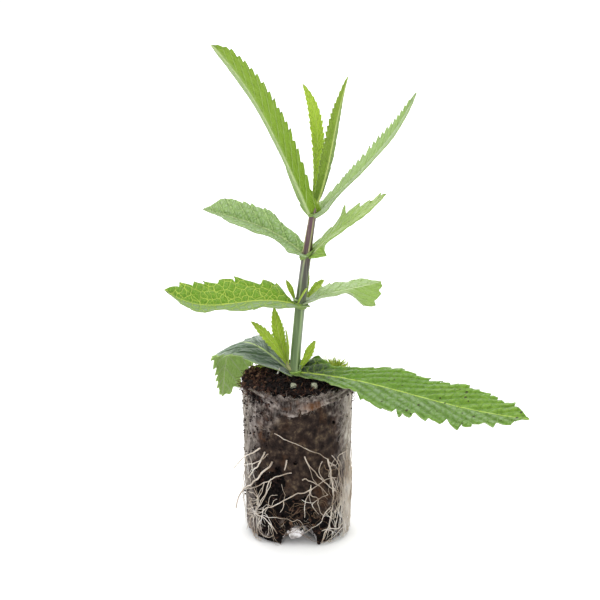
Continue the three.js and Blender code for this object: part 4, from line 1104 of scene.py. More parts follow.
# Leaves: crossed pairs that clasp the stem. The blade is 0.35 mm thick, quilted between sunken
# veins, with forward-pointing teeth. The upper face is glossy, the lower one pale with raised veins.
BLADE = 0.35
SHAPES = {
    # half width against the widest, along the blade
    "spatulate": [[0, 0.42], [0.08, 0.4], [0.2, 0.52], [0.45, 0.96], [0.6, 1], [0.8, 0.72], [0.92, 0.38],
                  [1, 0.02]],
    "ovate": [[0, 0.35], [0.1, 0.48], [0.3, 0.86], [0.5, 1], [0.75, 0.84], [0.9, 0.46], [1, 0.02]],
    "clasping": [[0, 0.5], [0.06, 0.66], [0.14, 0.74], [0.3, 0.88], [0.5, 1], [0.75, 0.98], [0.88, 0.72],
                 [1, 0.02]],
    "blunt": [[0, 0.38], [0.1, 0.5], [0.3, 0.8], [0.55, 1], [0.8, 0.95], [0.93, 0.6], [1, 0.02]],
    "lanceolate": [[0, 0.55], [0.05, 0.72], [0.12, 0.76], [0.3, 0.92], [0.5, 1], [0.75, 0.8],
                   [0.91, 0.42], [1, 0.02]],
    "folded": [[0, 0.5], [0.06, 0.66], [0.14, 0.74], [0.3, 0.88], [0.5, 1], [0.74, 0.98], [0.85, 0.74],
               [0.94, 0.3], [1, 0.02]],
    "young": [[0, 0.4], [0.15, 0.55], [0.4, 0.92], [0.6, 1], [0.8, 0.7], [0.93, 0.32], [1, 0.02]],
}
ROWS_PER_TOOTH = 14
LEAST_ROWS = 90
HALF_COLUMNS = 16
TOOTH_TIP = 0.74
TOOTH_STANDS_OUT = 0.45
TOOTH_REACH = 5          # the higher, the fewer columns of the grid the teeth bend
VEIN_OFFSET = 0.37       # between the side veins of the two halves, in vein intervals
CLASP_LENGTH = 0.14
LEAF_DEFAULTS = dict(
    sweep=0, curl=14, wave=0.5, sweep_up=0.3, left_width=1, right_width=1, left_tips=None, right_tips=None,
    left_curve=0.75, right_curve=0.75, vein_width=0.5, rib_width=0.45, rib_depth=0.25, stem_radius=0,
    columns=HALF_COLUMNS, blade=BLADE)


def bearing(leaf, s):
    """The midrib's turn in plan, in radians, at a share of its length."""
    return math.radians(leaf["azimuth"] + leaf["sweep"] * s)


def heading(leaf, s):
    """The midrib's direction at a share of its length."""
    turn, climb = bearing(leaf, s), math.radians(smooth(leaf["pitch"], s))
    return Vector((math.cos(climb) * math.cos(turn), math.cos(climb) * math.sin(turn), math.sin(climb)))


def across(leaf, s):
    """The directions to the blade's right and out of its upper face."""
    turn, roll = bearing(leaf, s), math.radians(smooth(leaf["roll"], s))
    right = Vector((math.sin(turn), -math.cos(turn), 0))
    up = right.cross(heading(leaf, s))
    return (right * math.cos(roll) + up * math.sin(roll), up * math.cos(roll) - right * math.sin(roll))


def tooth_edges(leaf, side):
    """For each tooth of a margin: where it starts, points and ends, its depth in mm, and the power that
    bends its outer edge. side is -1 for the left margin."""
    tips, curve = (leaf["left_tips"], leaf["left_curve"]) if side < 0 else (
        leaf["right_tips"], leaf["right_curve"])
    if tips is None:
        pick = random.Random(leaf["seed"] * 10 + side)
        widths = [pick.uniform(0.75, 1.25) for _ in range(leaf["teeth"])]
        share = (0.985 - leaf["entire"]) / sum(widths)
        ends = [leaf["entire"] + share * sum(widths[:i + 1]) for i in range(len(widths))]
        tips = [(end - (1 - TOOTH_TIP) * share * width, leaf["tooth"] * pick.uniform(0.65, 1.3))
                for end, width in zip(ends, widths)]
    edges, start = [], leaf["entire"]
    for i, (tip, depth) in enumerate(tips):
        after = tips[i + 1][0] if i + 1 < len(tips) else 1
        end = tip + (1 - TOOTH_TIP) * (after - tip)
        edges.append((start, tip, end, depth, curve))
        start = end
    return edges


def margin(leaf, edges, s):
    """How far the margin is set in, and moved forward, in mm at a share of the length."""
    half = smooth(SHAPES[leaf["outline"]], s) * leaf["width"] / 2
    for start, tip, end, depth, curve in edges:
        if start <= s < end:
            depth *= min(1, half / 3 + 0.15)
            if s < tip:
                rise = ((s - start) / (tip - start)) ** curve
            else:
                rise = ((end - s) / (end - tip)) ** 0.8
            return depth * (1 - TOOTH_STANDS_OUT - rise), min(0.8 * depth, 1.3) * rise ** 2
    return 0, 0


def leaf_blade(leaf):
    """The blade as a grid, shaped row by row. The first UV map is in mm, the second follows the veins."""
    rows = max(LEAST_ROWS, leaf["teeth"] * ROWS_PER_TOOTH)
    bpy.ops.mesh.primitive_grid_add(x_subdivisions=2 * leaf["columns"], y_subdivisions=rows, size=1)
    made = bpy.context.object
    spine = [Vector(leaf["base"])]
    for row in range(rows):
        spine.append(spine[-1] + heading(leaf, (row + 0.5) / rows) * leaf["length"] / rows)
    frames = [across(leaf, row / rows) for row in range(rows + 1)]
    margins = {}
    for side in (-1, 1):
        edges = tooth_edges(leaf, side)
        margins[side] = [margin(leaf, edges, row / rows) for row in range(rows + 1)]
    out = Vector((math.cos(bearing(leaf, 0)), math.sin(bearing(leaf, 0)), 0))
    stem_radius = leaf["stem_radius"]
    flat, ribs, reach, points = [], [], [], []
    for vertex in made.data.vertices:
        row = round((vertex.co.y + 0.5) * rows)
        s = row / rows
        side, name = (-1, "left") if vertex.co.x < 0 else (1, "right")
        t = min(1, abs(vertex.co.x) * 2)
        right, up = frames[row]
        # the way out from the midrib in mm, with the teeth, and the fold and curl of this half
        half = smooth(SHAPES[leaf["outline"]], s) * leaf["width"] / 2
        half *= smooth(leaf[name + "_width"], s)
        inset, forward = margins[side][row]
        sideways = half * t - inset * t ** TOOTH_REACH
        forward *= t ** TOOTH_REACH
        fold = math.radians(smooth(leaf[name], s))
        curl = math.radians(leaf["curl"]) * (0.5 - t)
        # how far this place is from the next side vein
        distance = s * leaf["length"] + forward
        run = leaf["rise"] * sideways + leaf["sweep_up"] * sideways ** 2 / max(half, 0.5)
        phase = (distance - run) / leaf["spacing"] + (VEIN_OFFSET if side < 0 else 0) + leaf["seed"] * 0.13
        to_vein = abs(phase - round(phase)) * leaf["spacing"] / math.hypot(1, leaf["rise"])
        # veins and midrib are sunk, the blade between them is uneven, and its margin waves
        fade = min(1, sideways / 1.2) * (1 - 0.5 * t)
        sunk = math.exp(-((to_vein / leaf["vein_width"]) ** 2)) * fade * leaf["quilt"]
        rib = math.exp(-((sideways / leaf["rib_width"]) ** 2)) * leaf["rib_depth"] * (1 - 0.7 * s)
        lump = rough(Vector((sideways * side, distance, leaf["seed"])), 2.2, 3, 2) * leaf["quilt"] * 0.45
        turns = distance / leaf["wave_length"] * math.tau + side * 1.3 + leaf["seed"]
        wave = leaf["wave"] * t ** 2 * math.sin(turns)
        height = -sunk - rib + lump * min(1, t * 4) + wave * min(1, half / 4)
        point = spine[row] + right * (side * math.cos(fold + curl) * sideways)
        point += up * (math.sin(fold + curl * 0.5) * sideways + height) + heading(leaf, s) * forward
        if stem_radius:
            # the foot of the blade wraps round the stem, and its lobes reach further back
            wrap = max(0, 1 - s / CLASP_LENGTH) ** 2
            back = stem_radius - math.sqrt(max(0, stem_radius ** 2 - min(sideways, stem_radius) ** 2))
            lobe = leaf["clasp"][0 if side < 0 else 1] * min(1, max(0, (sideways / stem_radius - 0.8)) * 2)
            point -= out * wrap * (back + lobe)
        points.append(point)
        flat.append((sideways * side, distance))
        ribs.append((phase, t))
        reach.append(s)
    for vertex, point in zip(made.data.vertices, points):
        vertex.co = point * MM
    uv_layer(made.data, "blade", flat)
    uv_layer(made.data, "veins", ribs)
    made.data.attributes.new("reach", "FLOAT", "POINT").data.foreach_set("value", reach)
    return made


# Leaf skin: a waxy, finely haired blade. Light comes through it yellow-green. Long side veins run
# forward to the teeth, rungs join them like a ladder, and the blade is puffed up between them all.
def leaf_skin(name, base, tip, veins, cells=(2, 4), net=0.3, shown=0.5, side_veins=0.6, groove=0.9,
              furrow=0.9, dark="#2f5a22", relief=0.25, rib=0.3, shine=0.42, glow=0.28,
              through="#9fc040", bloom=0.06, painted_sheen=(0, 0), painted_sheen_colour="#a9bba0", foot=None, fading=None,
              vein=0.045, rung=0.07, bed=0.13, hiding=0.85, net_mm=None, rim=None, specks=False):
    """The skin of one face of a blade.

    cells is how many rungs and pads a vein interval holds, forward and outwards. net_mm is the mesh in mm
    of a net that isn't slanted with the side veins, and takes its place. net, side_veins and shown are how
    clear the lines are. vein is half a side vein's width, in vein intervals, rung the same for the net, and
    bed for the painted shade beside a side vein. groove and furrow are how much of the blade's colour is
    left beside side veins and rungs, against dark, the colour of the painted shade there. rib is half the
    midrib's width and relief the depth, in mm. shine is the roughness, bloom the sheen, and glow the share
    of light that comes through. painted_sheen is how much painted sheen, the white light reflected at a
    grazing angle, greys the pads of the left and the right half, painted_sheen_colour its colour, and
    hiding how far it hides the lines. foot is a colour laid right at the stem: painted shade with a dark
    wet look on the old skin, painted sheen on the broad one. The pale veins are gone where the reach along
    the blade passes 1 / fading. rim is a colour laid along the margin and its share, painted sheen on the
    curled skin. specks adds small brown spots."""
    material, tree = new_material(name)
    flat = add(tree, "UVMap", uv_map="blade")
    ribs = add(tree, "UVMap", uv_map="veins")
    flat_x = add(tree, "SeparateXYZ", {"Vector": flat}).outputs["X"]
    outwards = add(tree, "SeparateXYZ", {"Vector": ribs}).outputs["Y"]
    reach = add(tree, "Attribute", attribute_name="reach").outputs["Fac"]
    place = add(tree, "TexCoord").outputs["Object"]
    # the blade ages from its tip to its base, in cloudy patches 8 mm across
    drift = add(tree, "TexNoise", {"Vector": place, "Scale": 130, "Detail": 3})
    ageing = add(tree, "MapRange", {"Value": drift, 3: -0.35, 4: 0.35})
    ageing = add(tree, "Math", {0: reach, 1: ageing}, operation="ADD", use_clamp=True)
    colour = add(tree, "Mix", {0: ageing, 6: base, 7: tip}, data_type="RGBA")
    # foot lays a colour at the stem: painted shade, with a dark wet look, on the old skin, and painted sheen
    # on the broad one
    if foot:
        start = add(tree, "MapRange", {"Value": reach, 1: 0.06, 2: 0.25}, interpolation_type="SMOOTHSTEP")
        colour = add(tree, "Mix", {0: start, 6: foot, 7: colour}, data_type="RGBA")
    # the vein map counts side veins along X and the way from midrib to margin along Y
    wander = add(tree, "TexNoise", {"Vector": flat, "Scale": 0.45, "Detail": 2}).outputs["Color"]
    track = add(tree, "VectorMath", {0: wander, 1: (0.14, 0.2, 0), 2: ribs}, operation="MULTIPLY_ADD")
    near = add(tree, "SeparateXYZ", {"Vector": track}).outputs["X"]
    for operation, amount in (("ADD", 0.43), ("FLOORED_MODULO", 1), ("SUBTRACT", 0.5)):
        near = add(tree, "Math", {0: near, 1: amount}, operation=operation)
    near = add(tree, "Math", {0: near}, operation="ABSOLUTE")
    if net_mm:
        track = add(tree, "VectorMath", {0: wander, 1: (1.6, 1.6, 0), 2: flat}, operation="MULTIPLY_ADD")
        cells = (1 / net_mm[0], 1 / net_mm[1])
    ladder = add(tree, "Mapping", {"Vector": track, "Scale": (*cells, 1)})
    rungs = add(tree, "TexVoronoi", {"Vector": ladder, "Scale": 1, "Randomness": 0.9},
                feature="DISTANCE_TO_EDGE", voronoi_dimensions="2D")
    pads = add(tree, "TexVoronoi", {"Vector": ladder, "Scale": 2.3},
               feature="DISTANCE_TO_EDGE", voronoi_dimensions="2D")
    line = None
    for value, wide, clear in ((near, vein, side_veins), (rungs, rung, net), (pads, 0.1, 0.4 * net)):
        mark = add(tree, "MapRange", {"Value": value, 1: wide, 2: 0.3 * wide, 3: 0, 4: clear * shown},
                   interpolation_type="SMOOTHSTEP")
        line = add(tree, "Math", {0: line, 1: mark}, operation="MAXIMUM") if line else mark
    if fading:
        left = add(tree, "MapRange", {"Value": reach, 1: 0, 2: 1 / fading, 3: 1, 4: 0})
        line = add(tree, "Math", {0: line, 1: left}, operation="MULTIPLY")
    rib_gap = add(tree, "Math", {0: flat_x}, operation="ABSOLUTE")
    rib_width = add(tree, "MapRange", {"Value": reach, 3: rib, 4: 0.4 * rib})
    rib_gap = add(tree, "Math", {0: rib_gap, 1: rib_width}, operation="DIVIDE")
    midrib = add(tree, "MapRange", {"Value": rib_gap, 1: 1.15, 2: 0.6, 3: 0, 4: 1},
                 interpolation_type="SMOOTHSTEP")
    # a grain 0.3 mm across varies the tone, and painted shade darkens the valleys and furrows that part the
    # pads
    grain = add(tree, "TexNoise", {"Vector": flat, "Scale": 3.2, "Detail": 3})
    tone = add(tree, "MapRange", {"Value": grain, 1: 0.3, 2: 0.7, 3: 0.88, 4: 1.12})
    colour = add(tree, "HueSaturation", {"Color": colour, "Value": tone})
    valley = add(tree, "MapRange", {"Value": near, 1: 0, 2: 0.3}, interpolation_type="SMOOTHSTEP")
    puff = add(tree, "MapRange", {"Value": rungs, 1: 0, 2: 0.34}, interpolation_type="SMOOTHSTEP")
    layers = []
    # painted sheen: a grey laid on the pad tops of each half for the white light that the blade reflects at
    # a grazing angle, hiding the pale lines under it
    if max(painted_sheen) > 0:
        side = add(tree, "MapRange", {"Value": flat_x, 1: -0.6, 2: 0.6, 3: painted_sheen[0], 4: painted_sheen[1]})
        swell = add(tree, "Math", {0: valley, 1: puff}, operation="MULTIPLY")
        swell = add(tree, "MapRange", {"Value": swell, 3: 0.45, 4: 1})
        painted_sheen_share = add(tree, "Math", {0: side, 1: swell}, operation="MULTIPLY")
        clear_of_sheen = add(tree, "MapRange", {"Value": painted_sheen_share, 3: 1, 4: 1 - hiding})
        line = add(tree, "Math", {0: line, 1: clear_of_sheen}, operation="MULTIPLY")
        layers.append((painted_sheen_share, painted_sheen_colour))
    # rim lays a colour along the margin; on the curled skin it is painted sheen along the dome's edge
    if rim:
        outer = add(tree, "MapRange", {"Value": outwards, 1: 0.72, 2: 0.92, 3: 0, 4: rim[1]})
        layers.append((outer, rim[0]))
    # painted shade: the colour dark laid beside side veins, along rungs and at pad edges
    for value, far, depth in ((near, bed, groove), (rungs, 0.22, furrow), (pads, 0.2, (1 + furrow) / 2)):
        furrow_shade = add(tree, "MapRange", {"Value": value, 1: 0, 2: far, 3: 1 - depth, 4: 0},
                  interpolation_type="SMOOTHSTEP")
        layers.append((furrow_shade, dark))
    edge = add(tree, "MapRange", {"Value": outwards, 1: 0.95, 2: 1, 3: 0, 4: 0.18})
    layers += [(line, veins), (midrib, veins), (edge, veins)]
    if specks:
        # brown spots up to 0.5 mm in radius, 3.3 mm apart where they are many
        spots = add(tree, "TexVoronoi", {"Vector": flat, "Scale": 0.3}, voronoi_dimensions="2D")
        patchy = add(tree, "TexNoise", {"Vector": flat, "Scale": 0.12})
        size = add(tree, "MapRange", {"Value": patchy, 1: 0.45, 2: 0.65, 3: 0, 4: 0.14})
        layers.append((add(tree, "Math", {0: spots, 1: size}, operation="LESS_THAN"), "#3a331c"))
    for share, over in layers:
        colour = add(tree, "Mix", {0: share, 6: colour, 7: over}, data_type="RGBA")
    bump = None
    for height, strength, distance in ((valley, 0.7, relief), (puff, 0.7, 0.8 * relief),
                                       (pads, 0.5, 0.4 * relief), (grain, 0.25, 0.08)):
        inputs = {"Height": height, "Strength": strength, "Distance": distance * MM}
        bump = add(tree, "Bump", {**inputs, "Normal": bump} if bump else inputs)
    shader = add(tree, "BsdfPrincipled", {
        "Base Color": colour, "Roughness": shine, "Normal": bump, "Sheen Weight": bloom,
        "Sheen Roughness": 0.5, "Sheen Tint": "#e6f0e0", "Specular IOR Level": 0.35})
    warmer = add(tree, "Mix", {0: 0.5, 6: colour, 7: through}, data_type="RGBA")
    light = add(tree, "BsdfTranslucent", {"Color": warmer, "Normal": bump})
    mixed = add(tree, "MixShader", {0: glow, 1: shader, 2: light})
    add(tree, "OutputMaterial", {"Surface": mixed})
    return material


SKIN_COLOURS = {
    # for each skin its upper face and its lower one: the colours of base, tip and veins, and the settings
    # In these settings the grey on the pads of each half is painted sheen of the white light at a grazing
    # angle, dark is the colour of painted shade in the furrows, foot is painted shade on the old skin and
    # painted sheen on the broad one, and the curled skin's rim is painted sheen.
    "old": [
        (("#5a8814", "#7fa52c", "#c0da5c"),
         dict(net_mm=(3.2, 2.3), net=0.5, shown=0.8, side_veins=0.5, bed=0.08, groove=0.66, furrow=0.6,
              dark="#426e10", relief=0.45, shine=0.4, painted_sheen=(0.06, 0.6), painted_sheen_colour="#84997a", foot="#1c2c22",
              fading=1.8, vein=0.02, rung=0.06, hiding=0.6, rim=("#7aa82c", 0.55), specks=True)),
        (("#8aa764", "#9ab574", "#c6d6a2"), dict(shine=0.6, cells=(2, 6)))],
    "curled": [
        (("#2e4238", "#6c8874", "#bcd08c"),
         dict(cells=(2, 5), net=0, shown=0.15, rib=0.5, groove=0.75, furrow=0.8, dark="#263830",
              relief=0.5, shine=0.3, bloom=0.2, painted_sheen=(0.2, 0.5), painted_sheen_colour="#aabbae", rim=("#c4d0c6", 0.5))),
        (("#d0ec98", "#d8f0a2", "#f4f9de"),
         dict(cells=(2, 5), shown=0.9, side_veins=0.9, vein=0.07, shine=0.6, glow=0.7, groove=0.95,
              furrow=1, rib=0.5, dark="#a8cc68", through="#c8e478"))],
    "netted": [
        (("#6f9c0e", "#6c9a1a", "#cfe060"),
         dict(net_mm=(2.9, 2.3), net=0.95, shown=0.85, side_veins=1, groove=0.85, furrow=0.6,
              dark="#4a7c14", relief=0.35, vein=0.016, rung=0.055, painted_sheen=(0.9, 0.04), painted_sheen_colour="#93a683")),
        (("#8aa25e", "#93ac68", "#b9cb92"), dict(shine=0.6, cells=(3, 3)))],
    "broad": [
        (("#93b15c", "#98bc46", "#d6e4ac"),
         dict(shine=0.36, bloom=0.2, painted_sheen=(0.4, 0.12), painted_sheen_colour="#b4c6a6", foot="#c2cfba", dark="#6f9640")),
        (("#a8bc88", "#bccc98", "#d9e4ba"), dict(shine=0.6))],
    "quilted": [
        (("#93bc50", "#a2c85e", "#d6e8a8"),
         dict(net_mm=(1.7, 1.1), net=0.25, shown=0.9, side_veins=0.9, vein=0.05, furrow=0.7, groove=0.7,
              bed=0.1, relief=0.5, shine=0.4, painted_sheen=(0.9, 0.6), painted_sheen_colour="#c3d4b4", dark="#62923a",
              hiding=0.1, rib=0.45)),
        (("#8ba56a", "#98b07a", "#bfd09e"), dict(shine=0.6))],
    "jagged": [
        (("#96bc40", "#b4cc6c", "#d6e4a8"),
         dict(side_veins=0.9, vein=0.06, bloom=0.15, painted_sheen=(0.3, 0.1), dark="#7ca03a")),
        (("#86b03a", "#98b858", "#c0d28c"), dict(shine=0.6))],
    "long": [
        (("#9ab478", "#a4ba86", "#c8d8aa"), dict(rib=0.22, net=0.2, cells=(2, 5), dark="#7c9858")),
        (("#86aa26", "#90b234", "#c8da9a"),
         dict(rib=0.22, cells=(1, 5), net=0.15, shown=0.8, side_veins=0.9, vein=0.03, groove=0.93,
              furrow=0.96, shine=0.5, glow=0.3, painted_sheen=(0, 0.6), painted_sheen_colour="#c4d2b2", dark="#6e9026"))],
    "pale": [
        (("#a8c47c", "#a2c468", "#e2eecc"),
         dict(net=0.2, bloom=0.15, painted_sheen=(0.02, 0.55), painted_sheen_colour="#c6d4ba", dark="#7a9a4c", groove=0.8,
              furrow=0.88, shown=0.7)),
        (("#8fab5c", "#a0b874", "#c5d5a2"), dict(net=0.2, shine=0.5))],
    "lime": [
        (("#bcdc44", "#b8d63c", "#d8e878"), dict(shown=0.4, rib=0.16, shine=0.45, dark="#94b832")),
        (("#b8d44e", "#c4dc5c", "#d8e890"), dict(shown=0.4, rib=0.16, shine=0.5, dark="#98b83e"))],
    "olive": [
        (("#728e28", "#98b63e", "#ccdc8c"),
         dict(shown=0.3, rib=0.25, shine=0.45, dark="#587624", painted_sheen=(0, 0.45))),
        (("#6c8c22", "#9cbc34", "#c4d478"),
         dict(shown=0.3, rib=0.25, shine=0.5, dark="#587620", painted_sheen=(0.35, 0)))],
}
LEAF_SKINS = {
    name: [leaf_skin(f"{name}_leaf_{face}", *colours, **settings)
           for face, (colours, settings) in zip(("upper", "lower"), faces)]
    for name, faces in SKIN_COLOURS.items()}
LEAVES = [
    # Lengths and widths are in mm, directions in degrees. pitch, roll, left and right (the fold of each
    # half) and the widths of the halves change along the blade. Tips are given as their place along the
    # blade and the tooth's depth. Side veins are spacing apart, and rise and sweep_up slant and bend them.
    # clasp is how far the lobes at the base reach round the stem.
    dict(name="leaf_1_right", node=1, skin="old", azimuth=-38, sweep=4, length=82, width=20.4,
         outline="spatulate", pitch=[[0, 9], [0.5, -2], [1, 5]], roll=[[0, -7], [1, -15]],
         left=[[0, 38], [0.12, 24], [0.2, 11], [0.5, 9], [1, 12]], right=-1,
         left_width=[[0, 1], [0.03, 1.1], [0.057, 1.6], [0.093, 1.23], [0.113, 1.12], [0.132, 0.88],
                     [0.157, 1.04], [0.176, 1.1], [0.187, 1.28], [0.261, 1.34], [0.28, 1.24],
                     [0.353, 1.17], [0.41, 1.04], [0.464, 0.96], [0.53, 0.9], [0.617, 0.9], [0.652, 0.97],
                     [0.699, 1.01], [0.746, 1.04], [0.794, 1.11], [0.831, 1.06], [0.853, 1.09],
                     [0.913, 1.13], [0.943, 1.21], [0.98, 1.15]],
         right_width=[[0, 0.65], [0.155, 0.68], [0.189, 0.93], [0.211, 1.0], [0.237, 0.95], [0.287, 0.8],
                      [0.326, 0.85], [0.353, 1.0], [0.404, 0.95], [0.469, 1.01], [0.512, 0.99],
                      [0.567, 1.03], [0.589, 0.89], [0.653, 0.9], [0.703, 0.91], [0.783, 1.08],
                      [0.824, 0.94], [0.899, 0.94], [0.95, 0.72], [0.981, 0.36]], teeth=17,
         left_tips=[(0.273, 0.7), (0.341, 1.2), (0.394, 2.0), (0.453, 1.2), (0.484, 0.4), (0.514, 1.7),
                    (0.564, 1.9), (0.613, 0.4), (0.637, 1.5), (0.688, 1.2), (0.738, 0.8), (0.783, 1.2),
                    (0.821, 1.1), (0.85, 0.3), (0.897, 2.0)],
         right_tips=[(0.19, 1.0), (0.31, 0.2), (0.337, 2.0), (0.455, 1.4), (0.506, 0.7), (0.545, 4.2),
                     (0.578, 2.2), (0.637, 2.6), (0.689, 1.4), (0.767, 4.4), (0.808, 1.7), (0.839, 0.4),
                     (0.883, 3.1), (0.934, 1.6)], left_curve=0.4, entire=0.17, clasp=(0.2, 1.2), seed=1,
         spacing=7.4, rise=2.3, sweep_up=0.5, quilt=0.55),
    dict(name="leaf_1_left", node=1, skin="curled", azimuth=159, sweep=-38, length=44, width=18.5,
         outline="ovate", pitch=[[0, 36], [0.2, 28], [0.37, 3], [0.55, -43], [0.75, -78], [1, -80]],
         left_width=[[0, 1], [0.5, 1], [0.75, 0.5], [1, 0.4]],
         right_width=[[0, 0.9], [0.2, 0.78], [0.4, 0.96], [0.62, 1.38], [0.8, 1.3], [1, 1.2]],
         roll=[[0, 16], [0.4, 12], [0.7, 0], [1, -6]], left=4, right=-8, teeth=10, tooth=1.5, entire=0.3,
         clasp=(0.8, 0.2), seed=2, spacing=5, rise=1.0, quilt=0.4, wave=0.4),
    dict(name="leaf_2_left", node=2, skin="netted", azimuth=197, sweep=-4, length=42.8, width=16.4,
         outline="clasping", pitch=[[0, 18], [0.5, -3], [1, 42]], roll=[[0, 14], [1, 25]],
         left=[[0, 6], [0.3, 17], [0.7, 24], [1, 24]], right=[[0, 24], [1, 26]], teeth=10, tooth=0.6,
         left_width=[[0.062, 0.7], [0.193, 0.89], [0.286, 0.83], [0.339, 0.89], [0.493, 0.74],
                     [0.599, 0.55], [0.748, 0.85], [0.848, 0.85], [0.902, 0.8], [0.93, 0.3], [1, 0.1]],
         right_width=[[0.034, 0.17], [0.073, 0.48], [0.102, 0.94], [0.133, 1.11], [0.227, 1.05],
                      [0.418, 1.1], [0.537, 1.02], [0.676, 0.93], [0.771, 0.87], [0.903, 0.83],
                      [0.95, 1.03], [0.978, 1.25]],
         right_tips=[(0.12, 0.7), (0.197, 2.4), (0.388, 2.4), (0.517, 1.1), (0.649, 1.5), (0.755, 0.9),
                     (0.873, 1.8)], entire=0.1, clasp=(2.4, 0.3), seed=3, spacing=11.5, rise=0.9,
         sweep_up=0.8, quilt=0.2, wave=0.3),
    dict(name="leaf_2_right", node=2, skin="broad", azimuth=33, length=29.5, width=14, outline="blunt",
         pitch=[[0, 14], [0.3, 5], [0.6, 1], [1, 4]], roll=0, left=[[0, 22], [0.3, 17], [0.5, 8], [1, 8]],
         right=[[0, 16], [0.42, 10], [0.66, -38], [1, -44]],
         left_width=[[0, 1], [0.25, 0.95], [0.45, 0.88], [0.8, 0.8], [1, 0.6]],
         right_width=[[0, 1], [0.55, 1], [0.72, 1.12], [0.8, 1], [0.9, 0.72], [1, 0.6]],
         left_tips=[(0.3, 0.4), (0.44, 1.4), (0.54, 1.2), (0.75, 0.4), (0.89, 0.9)],
         right_tips=[(0.45, 0.3), (0.6, 0.4), (0.78, 0.9), (0.9, 1.2), (0.97, 0.8)], teeth=8, curl=8,
         entire=0.22, clasp=(0.2, 0.6), seed=4, spacing=4, rise=1.0, quilt=0.2, wave=0.3),
    dict(name="leaf_3_left", node=3, skin="quilted", azimuth=149, sweep=-12, length=41.4, width=11.9,
         outline="folded", pitch=[[0, 34], [0.5, 7], [1, 2]], roll=[[0, 35], [1, 21]], left=36, right=58,
         teeth=13,
         left_width=[[0.045, 0.92], [0.074, 1.17], [0.112, 0.91], [0.173, 0.75], [0.245, 0.66],
                     [0.304, 0.72], [0.375, 0.97], [0.465, 0.96], [0.575, 0.92], [0.734, 0.52],
                     [0.889, 0.36], [0.927, 0.5]],
         right_width=[[0.072, 0.63], [0.109, 0.81], [0.223, 0.8], [0.294, 0.92], [0.332, 0.98],
                      [0.382, 1.0], [0.424, 0.95], [0.478, 0.93], [0.541, 0.96], [0.615, 0.86],
                      [0.698, 0.9], [0.806, 0.99], [0.848, 1.0], [0.899, 0.88], [0.93, 0.83],
                      [0.97, 0.75]], left_tips=[(0.3, 0.3), (0.5, 0.3), (0.7, 0.3), (0.9, 0.2)],
         right_tips=[(0.32, 0.6), (0.381, 0.2), (0.409, 0.8), (0.477, 0.2), (0.528, 0.7), (0.597, 0.9),
                     (0.695, 0.3), (0.736, 0.2), (0.805, 0.2), (0.847, 0.1)], entire=0.26,
         clasp=(1.4, 0.3), seed=5, spacing=5, rise=0.8, quilt=0.3, rib_depth=0.08, wave=0.25),
    dict(name="leaf_3_right", node=3, skin="jagged", azimuth=-28, sweep=4, length=33, width=11,
         outline="lanceolate", pitch=[[0, 49], [0.5, 38], [1, 44]], roll=[[0, -17], [1, -24]],
         left=[[0, 16], [0.36, 16], [0.45, 28], [0.52, 26], [0.62, 14], [0.75, 6], [0.88, 4], [1, 10]],
         right=[[0, -50], [0.12, -54], [0.21, -4], [0.4, 10], [1, 10]], teeth=8, tooth=0.5,
         right_width=[[0, 0.8], [0.08, 0.85], [0.15, 1], [1, 1]],
         left_tips=[(0.26, 0.8), (0.38, 1.2), (0.475, 4.6), (0.62, 2.6), (0.76, 0.6), (0.88, 3.4)],
         entire=0.14, clasp=(0.4, 2.6), seed=6, spacing=4.2, rise=1.0, quilt=0.18, wave=0.1),
    dict(name="leaf_4_left", node=4, skin="long", azimuth=213.6, sweep=8, length=66.6, width=10.3,
         outline="lanceolate", pitch=[[0, 65.5], [0.5, 59.5], [1, 42]],
         roll=[[0, -44], [0.5, -39], [1, -46]], left=[[0, 8], [0.12, 28], [0.3, 52], [1, 50]],
         right=[[0, 24], [0.12, 44], [0.3, 62], [1, 57]],
         left_width=[[0, 0.85], [0.12, 0.85], [0.25, 0.98], [0.45, 1.04], [0.6, 1.05], [0.8, 1.15],
                     [0.95, 1.5], [1, 1.5]],
         right_width=[[0, 1], [0.08, 0.75], [0.2, 0.6], [0.5, 0.85], [1, 1.05]],
         left_tips=[(0.1, 0.4), (0.18, 0.7), (0.24, 0.8), (0.31, 0.9), (0.35, 0.7), (0.41, 1.1),
                    (0.45, 0.9), (0.505, 0.9), (0.53, 0.7), (0.575, 1.1), (0.615, 0.9), (0.67, 0.9),
                    (0.72, 0.9), (0.76, 0.8), (0.81, 0.9), (0.845, 0.7), (0.9, 0.8), (0.93, 0.5),
                    (0.975, 0.6)], right_tips=[(0.22, 0.9), (0.4, 0.25), (0.6, 0.25), (0.8, 0.2)],
         teeth=24, entire=0.06, clasp=(0.9, 0.9), seed=7, spacing=5.5, rise=1.9, sweep_up=0.8, quilt=0.12,
         wave=0.12),
    dict(name="leaf_4_right", node=4, skin="pale", azimuth=26, sweep=3, length=49.8, width=8.3,
         outline="lanceolate", pitch=[[0, 39], [0.5, 41], [1, 63]], roll=[[0, 2], [1, 6]],
         left=[[0, 12], [0.2, 20], [1, 18]], right=[[0, 4], [0.2, 17], [1, 19]],
         left_width=[[0, 1], [0.2, 0.86], [0.35, 0.9], [0.6, 1], [0.85, 0.86], [1, 0.85]],
         right_width=[[0, 1.7], [0.05, 1.5], [0.13, 0.85], [0.35, 0.78], [0.6, 0.88], [1, 1]],
         left_tips=[(0.165, 1), (0.235, 0.8), (0.293, 0.8), (0.325, 0.7), (0.36, 0.8), (0.395, 1),
                    (0.435, 1.3), (0.48, 1.5), (0.545, 1.5), (0.59, 1.4), (0.635, 1.5), (0.67, 1.3),
                    (0.714, 1.4), (0.75, 1.3), (0.786, 1.2), (0.817, 1.1), (0.85, 1.1), (0.89, 1),
                    (0.93, 0.9)], right_tips=[(0.3, 0.15), (0.6, 0.15), (0.9, 0.1)], teeth=24, entire=0.1,
